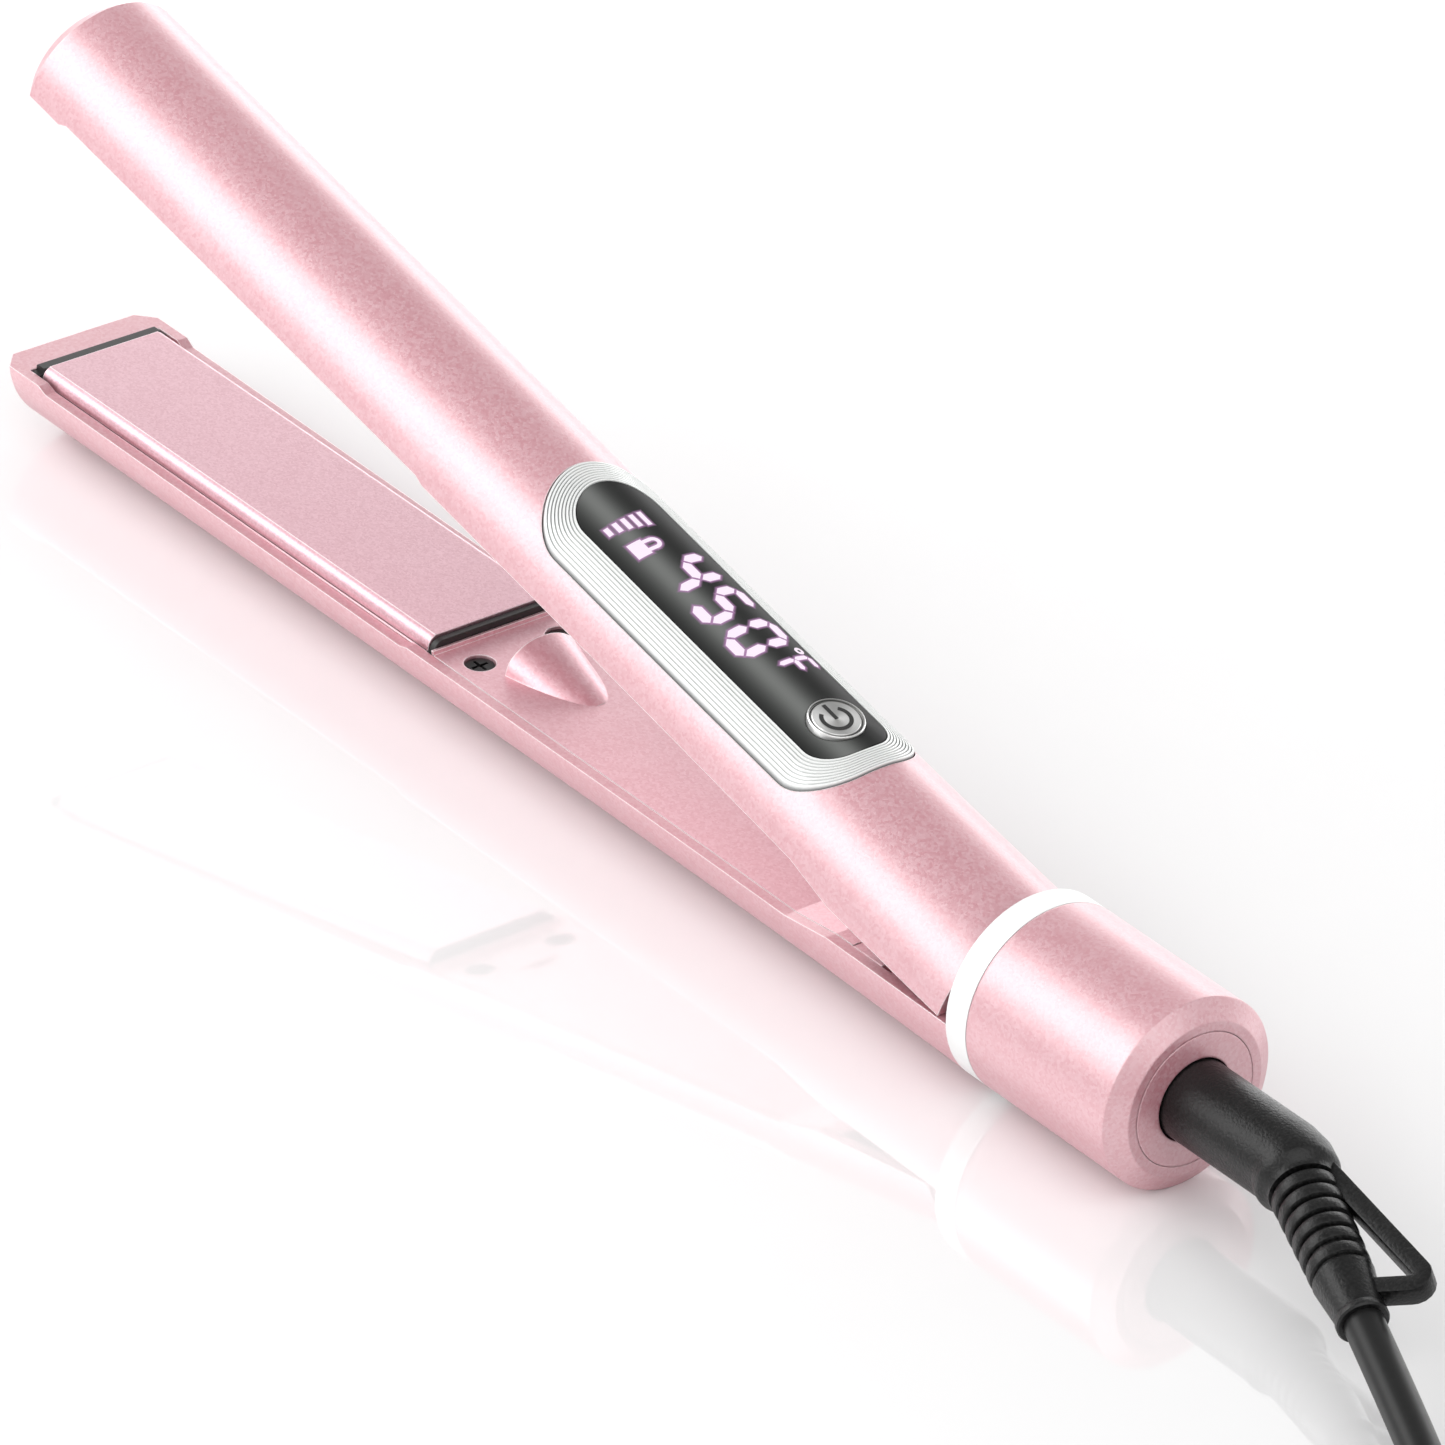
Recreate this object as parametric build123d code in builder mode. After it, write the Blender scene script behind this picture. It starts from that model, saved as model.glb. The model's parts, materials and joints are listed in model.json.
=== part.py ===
"""Hair straightener with rounded barrels: hinged arms, floating plates, a twist dial and a swivelling cord.

+X runs from the tips to the cord, +Z is up and z = 0 is the floor under the dial. The lower arm lies along X.
Pieces of the upper arm are made closed on the lower one, then turned open about the hinge pin.
"""

import os
from math import cos, pi, radians, sin, sqrt, tan

from build123d import *

os.makedirs("parts", exist_ok=True)

# Body, along X
BODY_LENGTH = 288.0  # noses to end face
REAR_RADIUS = 16.0  # ring and dial
DIAL_LENGTH = 34.0
RING_WIDTH = 4.6
NOSE_X = -BODY_LENGTH / 2
END_X = BODY_LENGTH / 2
DIAL_X = END_X - DIAL_LENGTH
RING_X = DIAL_X - RING_WIDTH
AXIS_Z = REAR_RADIUS

# Clearances
FIT = 0.1  # between pieces fixed to each other
RUN = 0.06  # between a journal and its bearing
FREE = 0.3  # between pieces that move past each other
BEYOND = 1.0  # how far a cut or a root runs past the face it meets

# Arms: half barrels with a chamfered nose, flaring to the ring
ARM_RADIUS = 15.1
WALL = 2.0
FLARE_LENGTH = 90.0
FLARE_STEPS = 4  # cones that make up the flare
FLARE_X = RING_X - FLARE_LENGTH
NOSE_CHAMFER_LENGTH = 3.1
NOSE_CHAMFER_DEPTH = 2.8
NOSE_WALL = 6.2  # tip to plate window
ARM_REAR_GAP = 1.9  # upper arm to ring, closed

# Depth of the arms' rims below the plane in which the plates meet
NOSE_RIM = 1.35
PLATE_RIM = 2.3
PLATE_RIM_REAR = 3.0
MID_RIM = 2.4
KINK_RIM = 2.7
HINGE_RIM = 1.3
NOSE_STEP = 11.4  # tip to the rim's first step
STEP_RUN = 2.0
RAMP_SETBACK = 29.4  # end of the ramp to the ring
RAMP_RUN = 10.4

# Hinge
HINGE_SETBACK = 17.1  # pin to ring
HINGE_RISE = 2.1  # pin above the meeting plane
OPEN_ANGLE = 12.5
PIN_RADIUS = 2.0
PIN_CHAMFER = 0.4
LOBE_RADIUS = 4.6
CHASSIS_EAR_GAP = 13.2  # between the lower ears
CHASSIS_EAR = 3.0
BRACKET_EAR_GAP = 6.2
WASHER = 0.5
CHASSIS_LENGTH = 24.0  # ahead of the ring
CHASSIS_TOP = 2.9  # below the meeting plane
CHANNEL_WIDTH = 8.8
CHANNEL_DEPTH = 9.0
BRACKET_LENGTH = 15.0
BRACKET_BASE = 8.3  # above the meeting plane
SPRING_WIRE = 0.9
SPRING_RADIUS = 3.1
SPRING_TURNS = 3.5
SPRING_PITCH = 1.35
SPRING_LEG = 5.0

# Heating plates
PLATE_LENGTH = 106.4
PLATE_SIDE_GAP = 0.52  # plate to shell
PLATE_SETBACK = 2.6  # window's front edge to plate
PLATE_REAR_GAP = 1.6  # plate to window's rear edge
PLATE_GAP = 0.15  # below the meeting plane
PLATE_RIM_HEIGHT = 2.55  # rounded cap of the plate
PLATE_SKIRT_INSET = 1.4  # cap's side to skirt
PLATE_DEPTH = 4.45
PLATE_EDGE_RADIUS = 2.0
PLATE_TAB = 0.6
PLATE_TAB_HEIGHT = 1.2
PLATE_SKIRT_WALL = 1.5
CHANNEL_ROOF = 1.95
PLATE_END_BLOCK = 8.0
PLATE_TRAVEL = 1.0
CARRIER_FRONT = 1.5  # bar before the plate, below the meeting plane
CARRIER_REAR = 0.5  # bar behind the plate
CARRIER_FLOOR = 1.5
PAD_RADIUS = 2.0
PAD_HEIGHT = 3.7
PAD_SETBACK = 4.2
PAD_INSET = 4.9  # skirt's side to pad centre
HEATER_GAP = 4.5  # end block to heater
HEATER_WIDTH = 14.0
HEATER_SHEET = 1.3
CLIP_GAP = 14.5  # end block to clip
CLIP_SHEET = 0.5
FUSE_RADIUS = 1.2
FUSE_LENGTH = 9.0
FUSE_LEAD = 8.0
FUSE_LEAD_RADIUS = 0.35

# Inner covers
COVER_SHEET = 1.8
COVER_LIP = 0.8  # raised edge behind the plate
COVER_LIP_SHEET = 0.5
COVER_REAR_SETBACK = 25.4  # cover's end to the ring
SCREW_SETBACK = 6.4  # window's rear edge to screws
SCREW_INSET = 5.06  # shell's wall to screws
SCREW_HEAD_RADIUS = 2.4
SCREW_HEAD = 0.8
SCREW_SINK = 1.3
SCREW_RADIUS = 1.1
SCREW_LENGTH = 6.5
SCREW_SLOT = 0.55
SCREW_SLOT_LENGTH = 3.12
SCREW_SLOT_DEPTH = 0.5
BOSS_RADIUS = 2.8
GUIDE_SETBACK = 11.8  # window's rear edge to cone
GUIDE_LENGTH = 15.6
GUIDE_HALF_WIDTH = 7.1
GUIDE_HEIGHT = 5.0
GUIDE_END_HALF_WIDTH = 4.6
GUIDE_END_HEIGHT = 4.2

# Display panel, wrapped on the upper barrel
BEZEL_SETBACK = 130.6  # tip to bezel
BEZEL_LENGTH = 78.8
BEZEL_HALF_WIDTH = 11.9
BEZEL_CORNER = 9.0
BEZEL_PROUD = 0.35
PANEL_BOW = 1.4  # bulge of the rear ends
LENS_INSET_FRONT = 5.1
LENS_INSET_REAR = 4.3
LENS_HALF_WIDTH = 7.4
LENS_CORNER = 5.3
LENS_PROUD = 0.25
PANEL_DEPTH = 1.0
PANEL_LEDGE = 1.2
BUTTON_SETBACK = 7.4  # lens's rear end to button centre
BUTTON_RADIUS = 4.6
BUTTON_PROUD = 0.75
BUTTON_CHAMFER = 0.3
BUTTON_RIM = 0.6
BUTTON_DISH = 0.25
BUTTON_TRAVEL = 0.5
BUTTON_FLANGE = 0.8
BUTTON_STEM_RADIUS = 1.8
BOARD_DROP = 6.5  # crown to board
BOARD_SHEET = 1.6
BOARD_INSET = 6.0
MODULE_LENGTH = 42.0
MODULE_HALF_WIDTH = 5.4
MODULE_HEIGHT = 3.8
SWITCH_SIZE = 6.0
SWITCH_HEIGHT = 2.6
PLUNGER_RADIUS = 1.5
PLUNGER_DEPTH = 1.2

# Ring, spindle, dial and end disc
RING_WALL = 1.6
RING_POCKET = 2.2  # room for the open upper arm's rear edge
DIAL_BORE = 13.6
DIAL_LIP = 1.8
DIAL_CHAMFER_LENGTH = 2.07
DIAL_CHAMFER_DEPTH = 3.15
DIAL_GAP = 0.15
DRUM_LENGTH = 6.0
SPINDLE_RADIUS = 9.0
DISC_RADIUS = 11.12
DISC_FLANGE_RADIUS = 12.2
DISC_FLANGE = 1.7
DISC_GAP = 0.2
ENCODER_SETBACK = 12.0  # dial's front to encoder board
ENCODER_SHEET = 1.6
CONTACT_GAP = 1.4
CONTACT_WIDTH = 2.5
CONTACT_WALL = 2.15
DETENTS = 24
DETENT_DEPTH = 0.4
DETENT_STRIP = 0.4
DETENT_HALF_SPAN = 5.0

# Swivel
NECK_RADIUS = 6.65
ROTOR_SHOULDER = 0.95  # flange beyond the neck
ROTOR_FLANGE = 4.0
JOURNAL_RADIUS = 5.0
JOURNAL_LENGTH = 6.0
SLIP_STEM_RADIUS = 3.4
SLIP_STEM_LENGTH = 9.0
SLIP_RING_WALL = 1.0
SLIP_RING_WIDTH = 2.0
SLIP_RING_PITCH = 4.0
SLIP_RING_SETBACK = 1.0
SLIP_CAVITY_RADIUS = 6.5
WIRE_BORE = 4.0

# Strain relief
NECK_LENGTH = 22.0
NECK_OVERLAP = 0.5  # into the taper
ELBOW_RADIUS = 10.0
BEND_DIRECTION = Vector(0.913, -0.376, -0.16).normalized()
TAPER_START = 2.3
TAPER_LENGTH = 3.1
RIBS = 6
RIB_PITCH = 3.05
RIB_RADIUS = 5.1
RIB_ROOT = 4.15
COLLAR_RADIUS = 4.7
COLLAR_END_RADIUS = 3.7
LEG_LENGTH = 34.2
LOOP_STRIP = 3.0
LOOP_THICKNESS = 3.5
LOOP_CORNER_RADIUS = 2.4

# Cord, hank and plug
CORD_RADIUS = 3.1
CORD_SIDES = 8  # of the tube's section
ARC_SHARE = 0.45  # of the shorter run, taken by a bend
LEAD_RUN = 18.0
LEAD_LAST_RUN = 16.3
HANK_SETBACK = 127.0  # end face to the first run
HANK_SIDE = 35.79  # main axis to the first run
HANK_RUN = 72.0  # between the folds
HANK_REACH = 25.0  # hank's middle to the first run, at the folds
HANK_DRAW = 12.0  # drawn in at the waist
HANK_PITCH = 8.5
HANK_RUNS = 10
LAYER_RUNS = 3  # the last one climbs
LAYER_RISE = 6.8
TAIL_RUN = 44.0
TAIL_SIDE = 4.0  # hank's middle to the plug
TIE_SHEET = 0.8
TIE_GAP = 0.4  # tie to cord, above and below
TIE_SIDE_GAP = 0.8
TIE_WIDTH = 8.0
TIE_CORNER = 2.5
PLUG_BODY = (24.0, 22.0, 15.0)
PLUG_CORNER = 4.0
PLUG_SHOULDER = (9.6, 15.4, 12.0)
PLUG_RELIEF = 12.0
PLUG_RELIEF_RADIUS = 5.0
PLUG_RELIEF_WALL = 1.0
BLADE_SIZE = (16.0, 6.3, 1.5)
BLADE_PITCH = 12.7

# Supply wires inside the arms
WIRE_RADIUS = 0.7
WIRE_Y = 1.6
WIRE_DROP = 6.0
WIRE_END_GAP = 1.0
WIRE_BEND = 5.0  # ahead of the ring
UPPER_WIRE_GAP = 0.6  # under the board

# Places worked out from the sizes above
WINDOW_X = NOSE_X + NOSE_WALL
STEP_X = NOSE_X + NOSE_STEP
RAMP_END = RING_X - RAMP_SETBACK
RAMP_X = RAMP_END - RAMP_RUN
HINGE_X = RING_X - HINGE_SETBACK
HINGE_Z = AXIS_Z + HINGE_RISE
REAR_REACH = HINGE_SETBACK - ARM_REAR_GAP
# Upper arm's rear corner clears the lower rim when open
OPEN_DROP = FREE - HINGE_RIM - HINGE_RISE + REAR_REACH * sin(radians(OPEN_ANGLE))
UPPER_REAR_RIM = HINGE_RISE + OPEN_DROP / cos(radians(OPEN_ANGLE))
PLATE_X = WINDOW_X + PLATE_SETBACK
PLATE_END = PLATE_X + PLATE_LENGTH
WINDOW_END = PLATE_END + PLATE_REAR_GAP
RECESS_END = WINDOW_END - 3 * STEP_RUN
ARM_BORE = ARM_RADIUS - WALL
PLATE_HALF = sqrt(ARM_BORE**2 - (PLATE_GAP + PLATE_RIM_HEIGHT) ** 2) - PLATE_SIDE_GAP
SKIRT_HALF = PLATE_HALF - PLATE_SKIRT_INSET
CHANNEL_HALF = SKIRT_HALF - PLATE_SKIRT_WALL
PAD_Y = SKIRT_HALF - PAD_INSET
HEATER_LENGTH = PLATE_LENGTH - 2 * (PLATE_END_BLOCK + HEATER_GAP)
CLIP_LENGTH = PLATE_LENGTH - 2 * (PLATE_END_BLOCK + CLIP_GAP)
PLATE_BOTTOM = PLATE_GAP + PLATE_DEPTH
CARRIER_DEPTH = PLATE_BOTTOM + PAD_HEIGHT
COVER_END = RING_X - COVER_REAR_SETBACK
SCREW_X = WINDOW_END + SCREW_SETBACK
SCREW_Y = ARM_BORE - SCREW_INSET
GUIDE_X = WINDOW_END + GUIDE_SETBACK
BEZEL_X = NOSE_X + BEZEL_SETBACK
BEZEL_END = BEZEL_X + BEZEL_LENGTH
LENS_X = BEZEL_X + LENS_INSET_FRONT
LENS_END = BEZEL_END - LENS_INSET_REAR
BUTTON_X = LENS_END - BUTTON_SETBACK
BOARD_TOP = ARM_RADIUS - BOARD_DROP
UPPER_WIRE_RISE = BOARD_TOP - BOARD_SHEET - UPPER_WIRE_GAP - WIRE_RADIUS
RING_BORE = REAR_RADIUS - RING_WALL
ROTOR_FLANGE_RADIUS = NECK_RADIUS + ROTOR_SHOULDER
SPINDLE_END = END_X - DIAL_LIP - DISC_FLANGE - DISC_GAP
ROTOR_END = SPINDLE_END - 2 * RUN
FLANGE_X = ROTOR_END - ROTOR_FLANGE
JOURNAL_X = FLANGE_X - JOURNAL_LENGTH
SLIP_X = JOURNAL_X - SLIP_STEM_LENGTH
HANK_CENTRE = Vector(END_X + HANK_SETBACK + HANK_RUN / 2, HANK_REACH - HANK_SIDE, 0)
ELBOW = Vector(END_X + NECK_LENGTH, 0, AXIS_Z)
COLLAR_END = ELBOW + BEND_DIRECTION * LEG_LENGTH

# Working planes: SIDE holds x and height above the main axis, TOP holds x and y
SIDE = Plane(origin=(0, 0, AXIS_Z), x_dir=(1, 0, 0), z_dir=(0, -1, 0))
TOP = Plane.XY.offset(AXIS_Z)
MAIN_AXIS = Axis((0, 0, AXIS_Z), (1, 0, 0))
HINGE_AXIS = Axis((HINGE_X, 0, HINGE_Z), (0, 1, 0))


def across(x, height=0.0):
    """Plane square to X at x, with its origin at a height above the main axis."""
    return Plane(origin=(x, 0, AXIS_Z + height), x_dir=(0, 1, 0), z_dir=(1, 0, 0))


def opened(piece):
    """Turn a piece of the closed upper arm to the open pose."""
    return piece.rotate(HINGE_AXIS, OPEN_ANGLE)


def upper_copy(piece):
    """Mirror a lower-arm piece into the upper arm and turn it open."""
    return opened(piece.mirror(TOP))


def save(piece, name):
    """Label a finished piece and write it."""
    piece.label = name
    export_step(piece, f"parts/{name}.step")


def flare(x):
    """How far the arms' surface has widened at x."""
    return (REAR_RADIUS - ARM_RADIUS) * (max(x - FLARE_X, 0) / FLARE_LENGTH) ** 2


def barrel(grow, start, nose_length=0.0, nose_depth=0.0):
    """Round body from start to the ring whose surface lies grow outside the arms' own."""
    radius = ARM_RADIUS + grow
    flare_places = [FLARE_X + FLARE_LENGTH * i / FLARE_STEPS for i in range(FLARE_STEPS + 1)]
    with BuildPart() as solid:
        with BuildSketch(SIDE):
            with BuildLine():
                if nose_length:
                    Line((start, radius - nose_depth), (start + nose_length, radius))
                Polyline(
                    (start + nose_length, radius),
                    *[(x, radius + flare(x)) for x in flare_places],
                    (RING_X, 0),
                    (start, 0),
                    (start, radius - nose_depth),
                )
            make_face()
        revolve(axis=MAIN_AXIS)
    return solid.part


def side_prism(*points):
    """Prism through the whole width whose side view is the polygon of (x, height) points."""
    with BuildPart() as prism:
        with BuildSketch(SIDE):
            with BuildLine():
                Polyline(*points, close=True)
            make_face()
        extrude(amount=2 * REAR_RADIUS, both=True)
    return prism.part


def tube(outer, inner, start, end):
    """Ring or disc about the main axis between two x places."""
    with BuildPart() as ring:
        with BuildSketch(across(start)):
            Circle(outer)
            if inner:
                Circle(inner, mode=Mode.SUBTRACT)
        extrude(amount=end - start)
    return ring.part


def panel(front, rear, half_width, corner, grow=0.0):
    """Upright prism over the display's plan outline: round in front, bowed with rounded corners behind."""
    half = half_width + grow
    start = front - grow
    end = rear + grow
    with BuildPart() as prism:
        with BuildSketch(TOP):
            with BuildLine():
                ThreePointArc((start + half, -half), (start, 0), (start + half, half))
                Line((start + half, half), (end - PANEL_BOW, half))
                ThreePointArc((end - PANEL_BOW, half), (end, 0), (end - PANEL_BOW, -half))
                Line((end - PANEL_BOW, -half), (start + half, -half))
            face = make_face()
            fillet(face.vertices().group_by(Axis.X)[-1], corner + grow)
        extrude(amount=2 * REAR_RADIUS)
    return prism.part


def biarc_path(stations):
    """Unbroken line of arcs, two between each neighbouring pair of (point, direction) stations."""
    with BuildLine() as path:
        for (start, out), (end, into) in zip(stations, stations[1:]):
            chord = end - start
            blend = 2 * (1 - out.dot(into))
            along = chord.dot(out + into)
            reach = chord.dot(chord) / (sqrt(along**2 + blend * chord.dot(chord)) + along)
            corner = start + out * reach
            other = end - into * reach
            middle = (corner + other) / 2
            TangentArc(start, middle, tangent=out)
            TangentArc(middle, end, tangent=other - corner)
    return path.wire()


def swept(path, radius):
    """Round tube along a path."""
    with BuildPart() as solid:
        with BuildSketch(Plane(origin=path @ 0, z_dir=path % 0)):
            Circle(radius)
        sweep(path=path)
    return solid.part


def swept_square(path, width):
    """Square wire along a path, with its sides square to Y where it starts."""
    with BuildPart() as solid:
        with BuildSketch(Plane(origin=path @ 0, x_dir=(0, 1, 0), z_dir=path % 0)):
            Rectangle(width, width)
        sweep(path=path)
    return solid.part


def swept_cord(path):
    """Stretch of cord along a path, and the volume that its section and length give."""
    with BuildPart() as solid:
        with BuildSketch(Plane(origin=path @ 0, z_dir=path % 0)) as section:
            RegularPolygon(CORD_RADIUS, CORD_SIDES)
        sweep(path=path)
    return solid.part, section.sketch.area * path.length


def straight(*points):
    """Line or polyline through the points."""
    with BuildLine() as line:
        Polyline(*points)
    return line.wire()


def route(*points):
    """Path of straight runs joined by arcs as large as the runs allow, and the arcs' radii."""
    radii = []
    for before, here, after in zip(points, points[1:], points[2:]):
        half_turn = radians((here - before).get_angle(after - here)) / 2
        radii.append(ARC_SHARE * min((here - before).length, (after - here).length) / tan(half_turn))
    with BuildLine() as path:
        FilletPolyline(*points, radius=radii)
    return path.wire(), radii


def least_gap(path, diameter):
    """Least gap between stretches of a wound tube that are more than two diameters apart along it."""
    per_diameter = 3
    count = int(path.length / diameter * per_diameter)
    points = [tuple(path @ (i / count)) for i in range(count + 1)]
    apart = 2 * per_diameter + 1
    nearest = min(
        (a[0] - b[0]) ** 2 + (a[1] - b[1]) ** 2 + (a[2] - b[2]) ** 2
        for i, a in enumerate(points)
        for b in points[i + apart :]
    )
    return sqrt(nearest) - diameter


# Shared blanks of the two arms, in the lower arm's place
RIM_LINE = (
    (NOSE_X, -NOSE_RIM),
    (STEP_X, -NOSE_RIM),
    (STEP_X + STEP_RUN, -PLATE_RIM),
    (RECESS_END, -PLATE_RIM_REAR),
    (RECESS_END + STEP_RUN, -MID_RIM),
    (RAMP_X, -KINK_RIM),
    (RAMP_END, -HINGE_RIM),
    (RING_X, -HINGE_RIM),
)
BELOW = ((RING_X, -2 * REAR_RADIUS), (NOSE_X, -2 * REAR_RADIUS))
ARM_SOLID = barrel(0, NOSE_X, NOSE_CHAMFER_LENGTH, NOSE_CHAMFER_DEPTH)
ARM_HOLLOW = barrel(-WALL, WINDOW_X)
ARM_LINING = barrel(-WALL - FIT, WINDOW_X + FIT)
COVER_BOTTOM = MID_RIM + COVER_SHEET

with BuildPart() as screw_bosses:
    with Locations(*[(SCREW_X, y, AXIS_Z - COVER_BOTTOM - FIT) for y in (-SCREW_Y, SCREW_Y)]):
        Cylinder(BOSS_RADIUS, ARM_RADIUS, align=(Align.CENTER, Align.CENTER, Align.MAX))
    add(barrel(-WALL / 2, NOSE_X), mode=Mode.INTERSECT)

with BuildPart() as arm_blank:
    add(ARM_SOLID)
    add(side_prism(*RIM_LINE, *BELOW), mode=Mode.INTERSECT)
    add(ARM_HOLLOW, mode=Mode.SUBTRACT)
    add(screw_bosses.part)
    with Locations(*[(SCREW_X, y, AXIS_Z - COVER_BOTTOM) for y in (-SCREW_Y, SCREW_Y)]):
        Hole(SCREW_RADIUS + FIT / 2, depth=SCREW_LENGTH)

COVER_TOP = (
    (WINDOW_END, -MID_RIM),
    (RAMP_X, -KINK_RIM),
    (RAMP_END, -HINGE_RIM),
    (COVER_END, -HINGE_RIM),
)

with BuildPart() as cover_blank:
    add(side_prism(*COVER_TOP, *[(x, z - COVER_SHEET) for x, z in reversed(COVER_TOP)]))
    lip_foot, lip_top = -MID_RIM - COVER_SHEET / 2, -MID_RIM + COVER_LIP
    lip_end = WINDOW_END + COVER_LIP_SHEET
    add(side_prism((WINDOW_END, lip_foot), (WINDOW_END, lip_top), (lip_end, lip_top), (lip_end, lip_foot)))
    add(ARM_LINING, mode=Mode.INTERSECT)
    with Locations(*[(SCREW_X, y, AXIS_Z - MID_RIM) for y in (-SCREW_Y, SCREW_Y)]):
        CounterBoreHole(
            SCREW_RADIUS + FIT, SCREW_HEAD_RADIUS + 2 * FIT, SCREW_SINK, depth=2 * COVER_SHEET
        )


def guide_cone(grow):
    """Half cone that lines the arms up, sinking into the cover at the rear, grown all round."""
    with BuildPart() as cone:
        with BuildSketch(across(GUIDE_X - grow, -MID_RIM)):
            Ellipse(GUIDE_HALF_WIDTH + grow, GUIDE_HEIGHT + grow)
        with BuildSketch(across(GUIDE_X + GUIDE_LENGTH + grow, -MID_RIM - GUIDE_END_HEIGHT)):
            Ellipse(GUIDE_END_HALF_WIDTH + grow, GUIDE_END_HEIGHT + grow)
        loft(ruled=True)
        split(bisect_by=Plane.XY.offset(AXIS_Z - COVER_BOTTOM + COVER_SHEET / 2), keep=Keep.TOP)
    return cone.part


# Lower arm
with BuildPart() as lower_shell:
    add(arm_blank.part)
save(lower_shell.part, "lower_shell")

with BuildPart() as lower_inner_cover:
    add(cover_blank.part)
    add(guide_cone(0))
save(lower_inner_cover.part, "lower_inner_cover")

with BuildPart() as lower_plate_carrier:
    carrier_x = WINDOW_X + FIT
    carrier_end = WINDOW_END - FIT
    pocket_x = PLATE_X - PLATE_TAB - FREE
    pocket_end = PLATE_END + PLATE_TAB + FREE
    pocket_top = PLATE_BOTTOM - PLATE_TAB_HEIGHT - FREE
    add(
        side_prism(
            (carrier_x, -CARRIER_FRONT),
            (PLATE_X - FREE, -CARRIER_FRONT),
            (PLATE_X - FREE, -pocket_top),
            (pocket_x, -pocket_top),
            (pocket_x, -CARRIER_DEPTH),
            (pocket_end, -CARRIER_DEPTH),
            (pocket_end, -pocket_top),
            (PLATE_END + FREE, -pocket_top),
            (PLATE_END + FREE, -MID_RIM),
            (carrier_end, -MID_RIM),
            (carrier_end, -CARRIER_DEPTH - CARRIER_FLOOR),
            (carrier_x, -CARRIER_DEPTH - CARRIER_FLOOR),
        )
    )
    add(ARM_LINING, mode=Mode.INTERSECT)
    with BuildSketch(across(PLATE_END + FREE, -CARRIER_REAR)):
        bar = Rectangle(2 * PLATE_HALF, pocket_top - CARRIER_REAR, align=(Align.CENTER, Align.MAX))
        fillet(bar.vertices().group_by(Axis.Y)[-1], PLATE_EDGE_RADIUS)
    extrude(amount=carrier_end - PLATE_END - FREE)
save(lower_plate_carrier.part, "lower_plate_carrier")

with BuildPart() as lower_heating_plate:
    with BuildSketch(across(PLATE_X, -PLATE_GAP)):
        cap = Rectangle(2 * PLATE_HALF, PLATE_RIM_HEIGHT, align=(Align.CENTER, Align.MAX))
        fillet(cap.vertices().group_by(Axis.Y)[-1], PLATE_EDGE_RADIUS)
        Rectangle(2 * SKIRT_HALF, PLATE_DEPTH, align=(Align.CENTER, Align.MAX))
    extrude(amount=PLATE_LENGTH)
    with BuildSketch(across(PLATE_X - PLATE_TAB, -PLATE_BOTTOM)):
        Rectangle(2 * SKIRT_HALF - PLATE_TAB, PLATE_TAB_HEIGHT, align=(Align.CENTER, Align.MIN))
    extrude(amount=PLATE_LENGTH + 2 * PLATE_TAB)
    with BuildSketch(across(PLATE_X + PLATE_END_BLOCK, -PLATE_BOTTOM)):
        channel_height = PLATE_BOTTOM - PLATE_GAP - CHANNEL_ROOF
        Rectangle(2 * CHANNEL_HALF, channel_height, align=(Align.CENTER, Align.MIN))
    extrude(amount=PLATE_LENGTH - 2 * PLATE_END_BLOCK, mode=Mode.SUBTRACT)
save(lower_heating_plate.part, "lower_heating_plate")

PLATE_MIDDLE = PLATE_X + PLATE_LENGTH / 2
HEATER_TOP = PLATE_GAP + CHANNEL_ROOF
CLIP_TOP = HEATER_TOP + HEATER_SHEET
FUSE_DEPTH = CLIP_TOP + CLIP_SHEET + FUSE_RADIUS + FIT

with BuildPart() as lower_heater:
    with Locations((PLATE_MIDDLE, 0, AXIS_Z - HEATER_TOP)):
        Box(HEATER_LENGTH, HEATER_WIDTH, HEATER_SHEET, align=(Align.CENTER, Align.CENTER, Align.MAX))
save(lower_heater.part, "lower_heater")

with BuildPart() as lower_heater_clip:
    with BuildSketch(across(PLATE_MIDDLE - CLIP_LENGTH / 2, -CLIP_TOP)):
        with BuildLine():
            clip_half = CHANNEL_HALF - FIT
            clip_drop = PLATE_BOTTOM - CLIP_TOP
            Polyline((-clip_half, -clip_drop), (-clip_half, 0), (clip_half, 0), (clip_half, -clip_drop))
            offset(amount=CLIP_SHEET, side=Side.RIGHT)
        make_face()
    extrude(amount=CLIP_LENGTH)
save(lower_heater_clip.part, "lower_heater_clip")

with BuildPart() as lower_thermal_fuse:
    with BuildSketch(across(PLATE_MIDDLE - FUSE_LENGTH / 2, -FUSE_DEPTH)):
        Circle(FUSE_RADIUS)
    extrude(amount=FUSE_LENGTH)
    with BuildSketch(across(PLATE_MIDDLE - FUSE_LENGTH / 2 - FUSE_LEAD, -FUSE_DEPTH)):
        Circle(FUSE_LEAD_RADIUS)
    extrude(amount=FUSE_LENGTH + 2 * FUSE_LEAD)
save(lower_thermal_fuse.part, "lower_thermal_fuse")

with BuildPart() as lower_float_pads:
    for x in (PLATE_X + PAD_SETBACK, PLATE_END - PAD_SETBACK):
        with Locations(*[(x, y, AXIS_Z - PLATE_BOTTOM) for y in (-PAD_Y, PAD_Y)]):
            Cylinder(PAD_RADIUS, PAD_HEIGHT, align=(Align.CENTER, Align.CENTER, Align.MAX))
save(lower_float_pads.part, "lower_float_pads")

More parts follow.
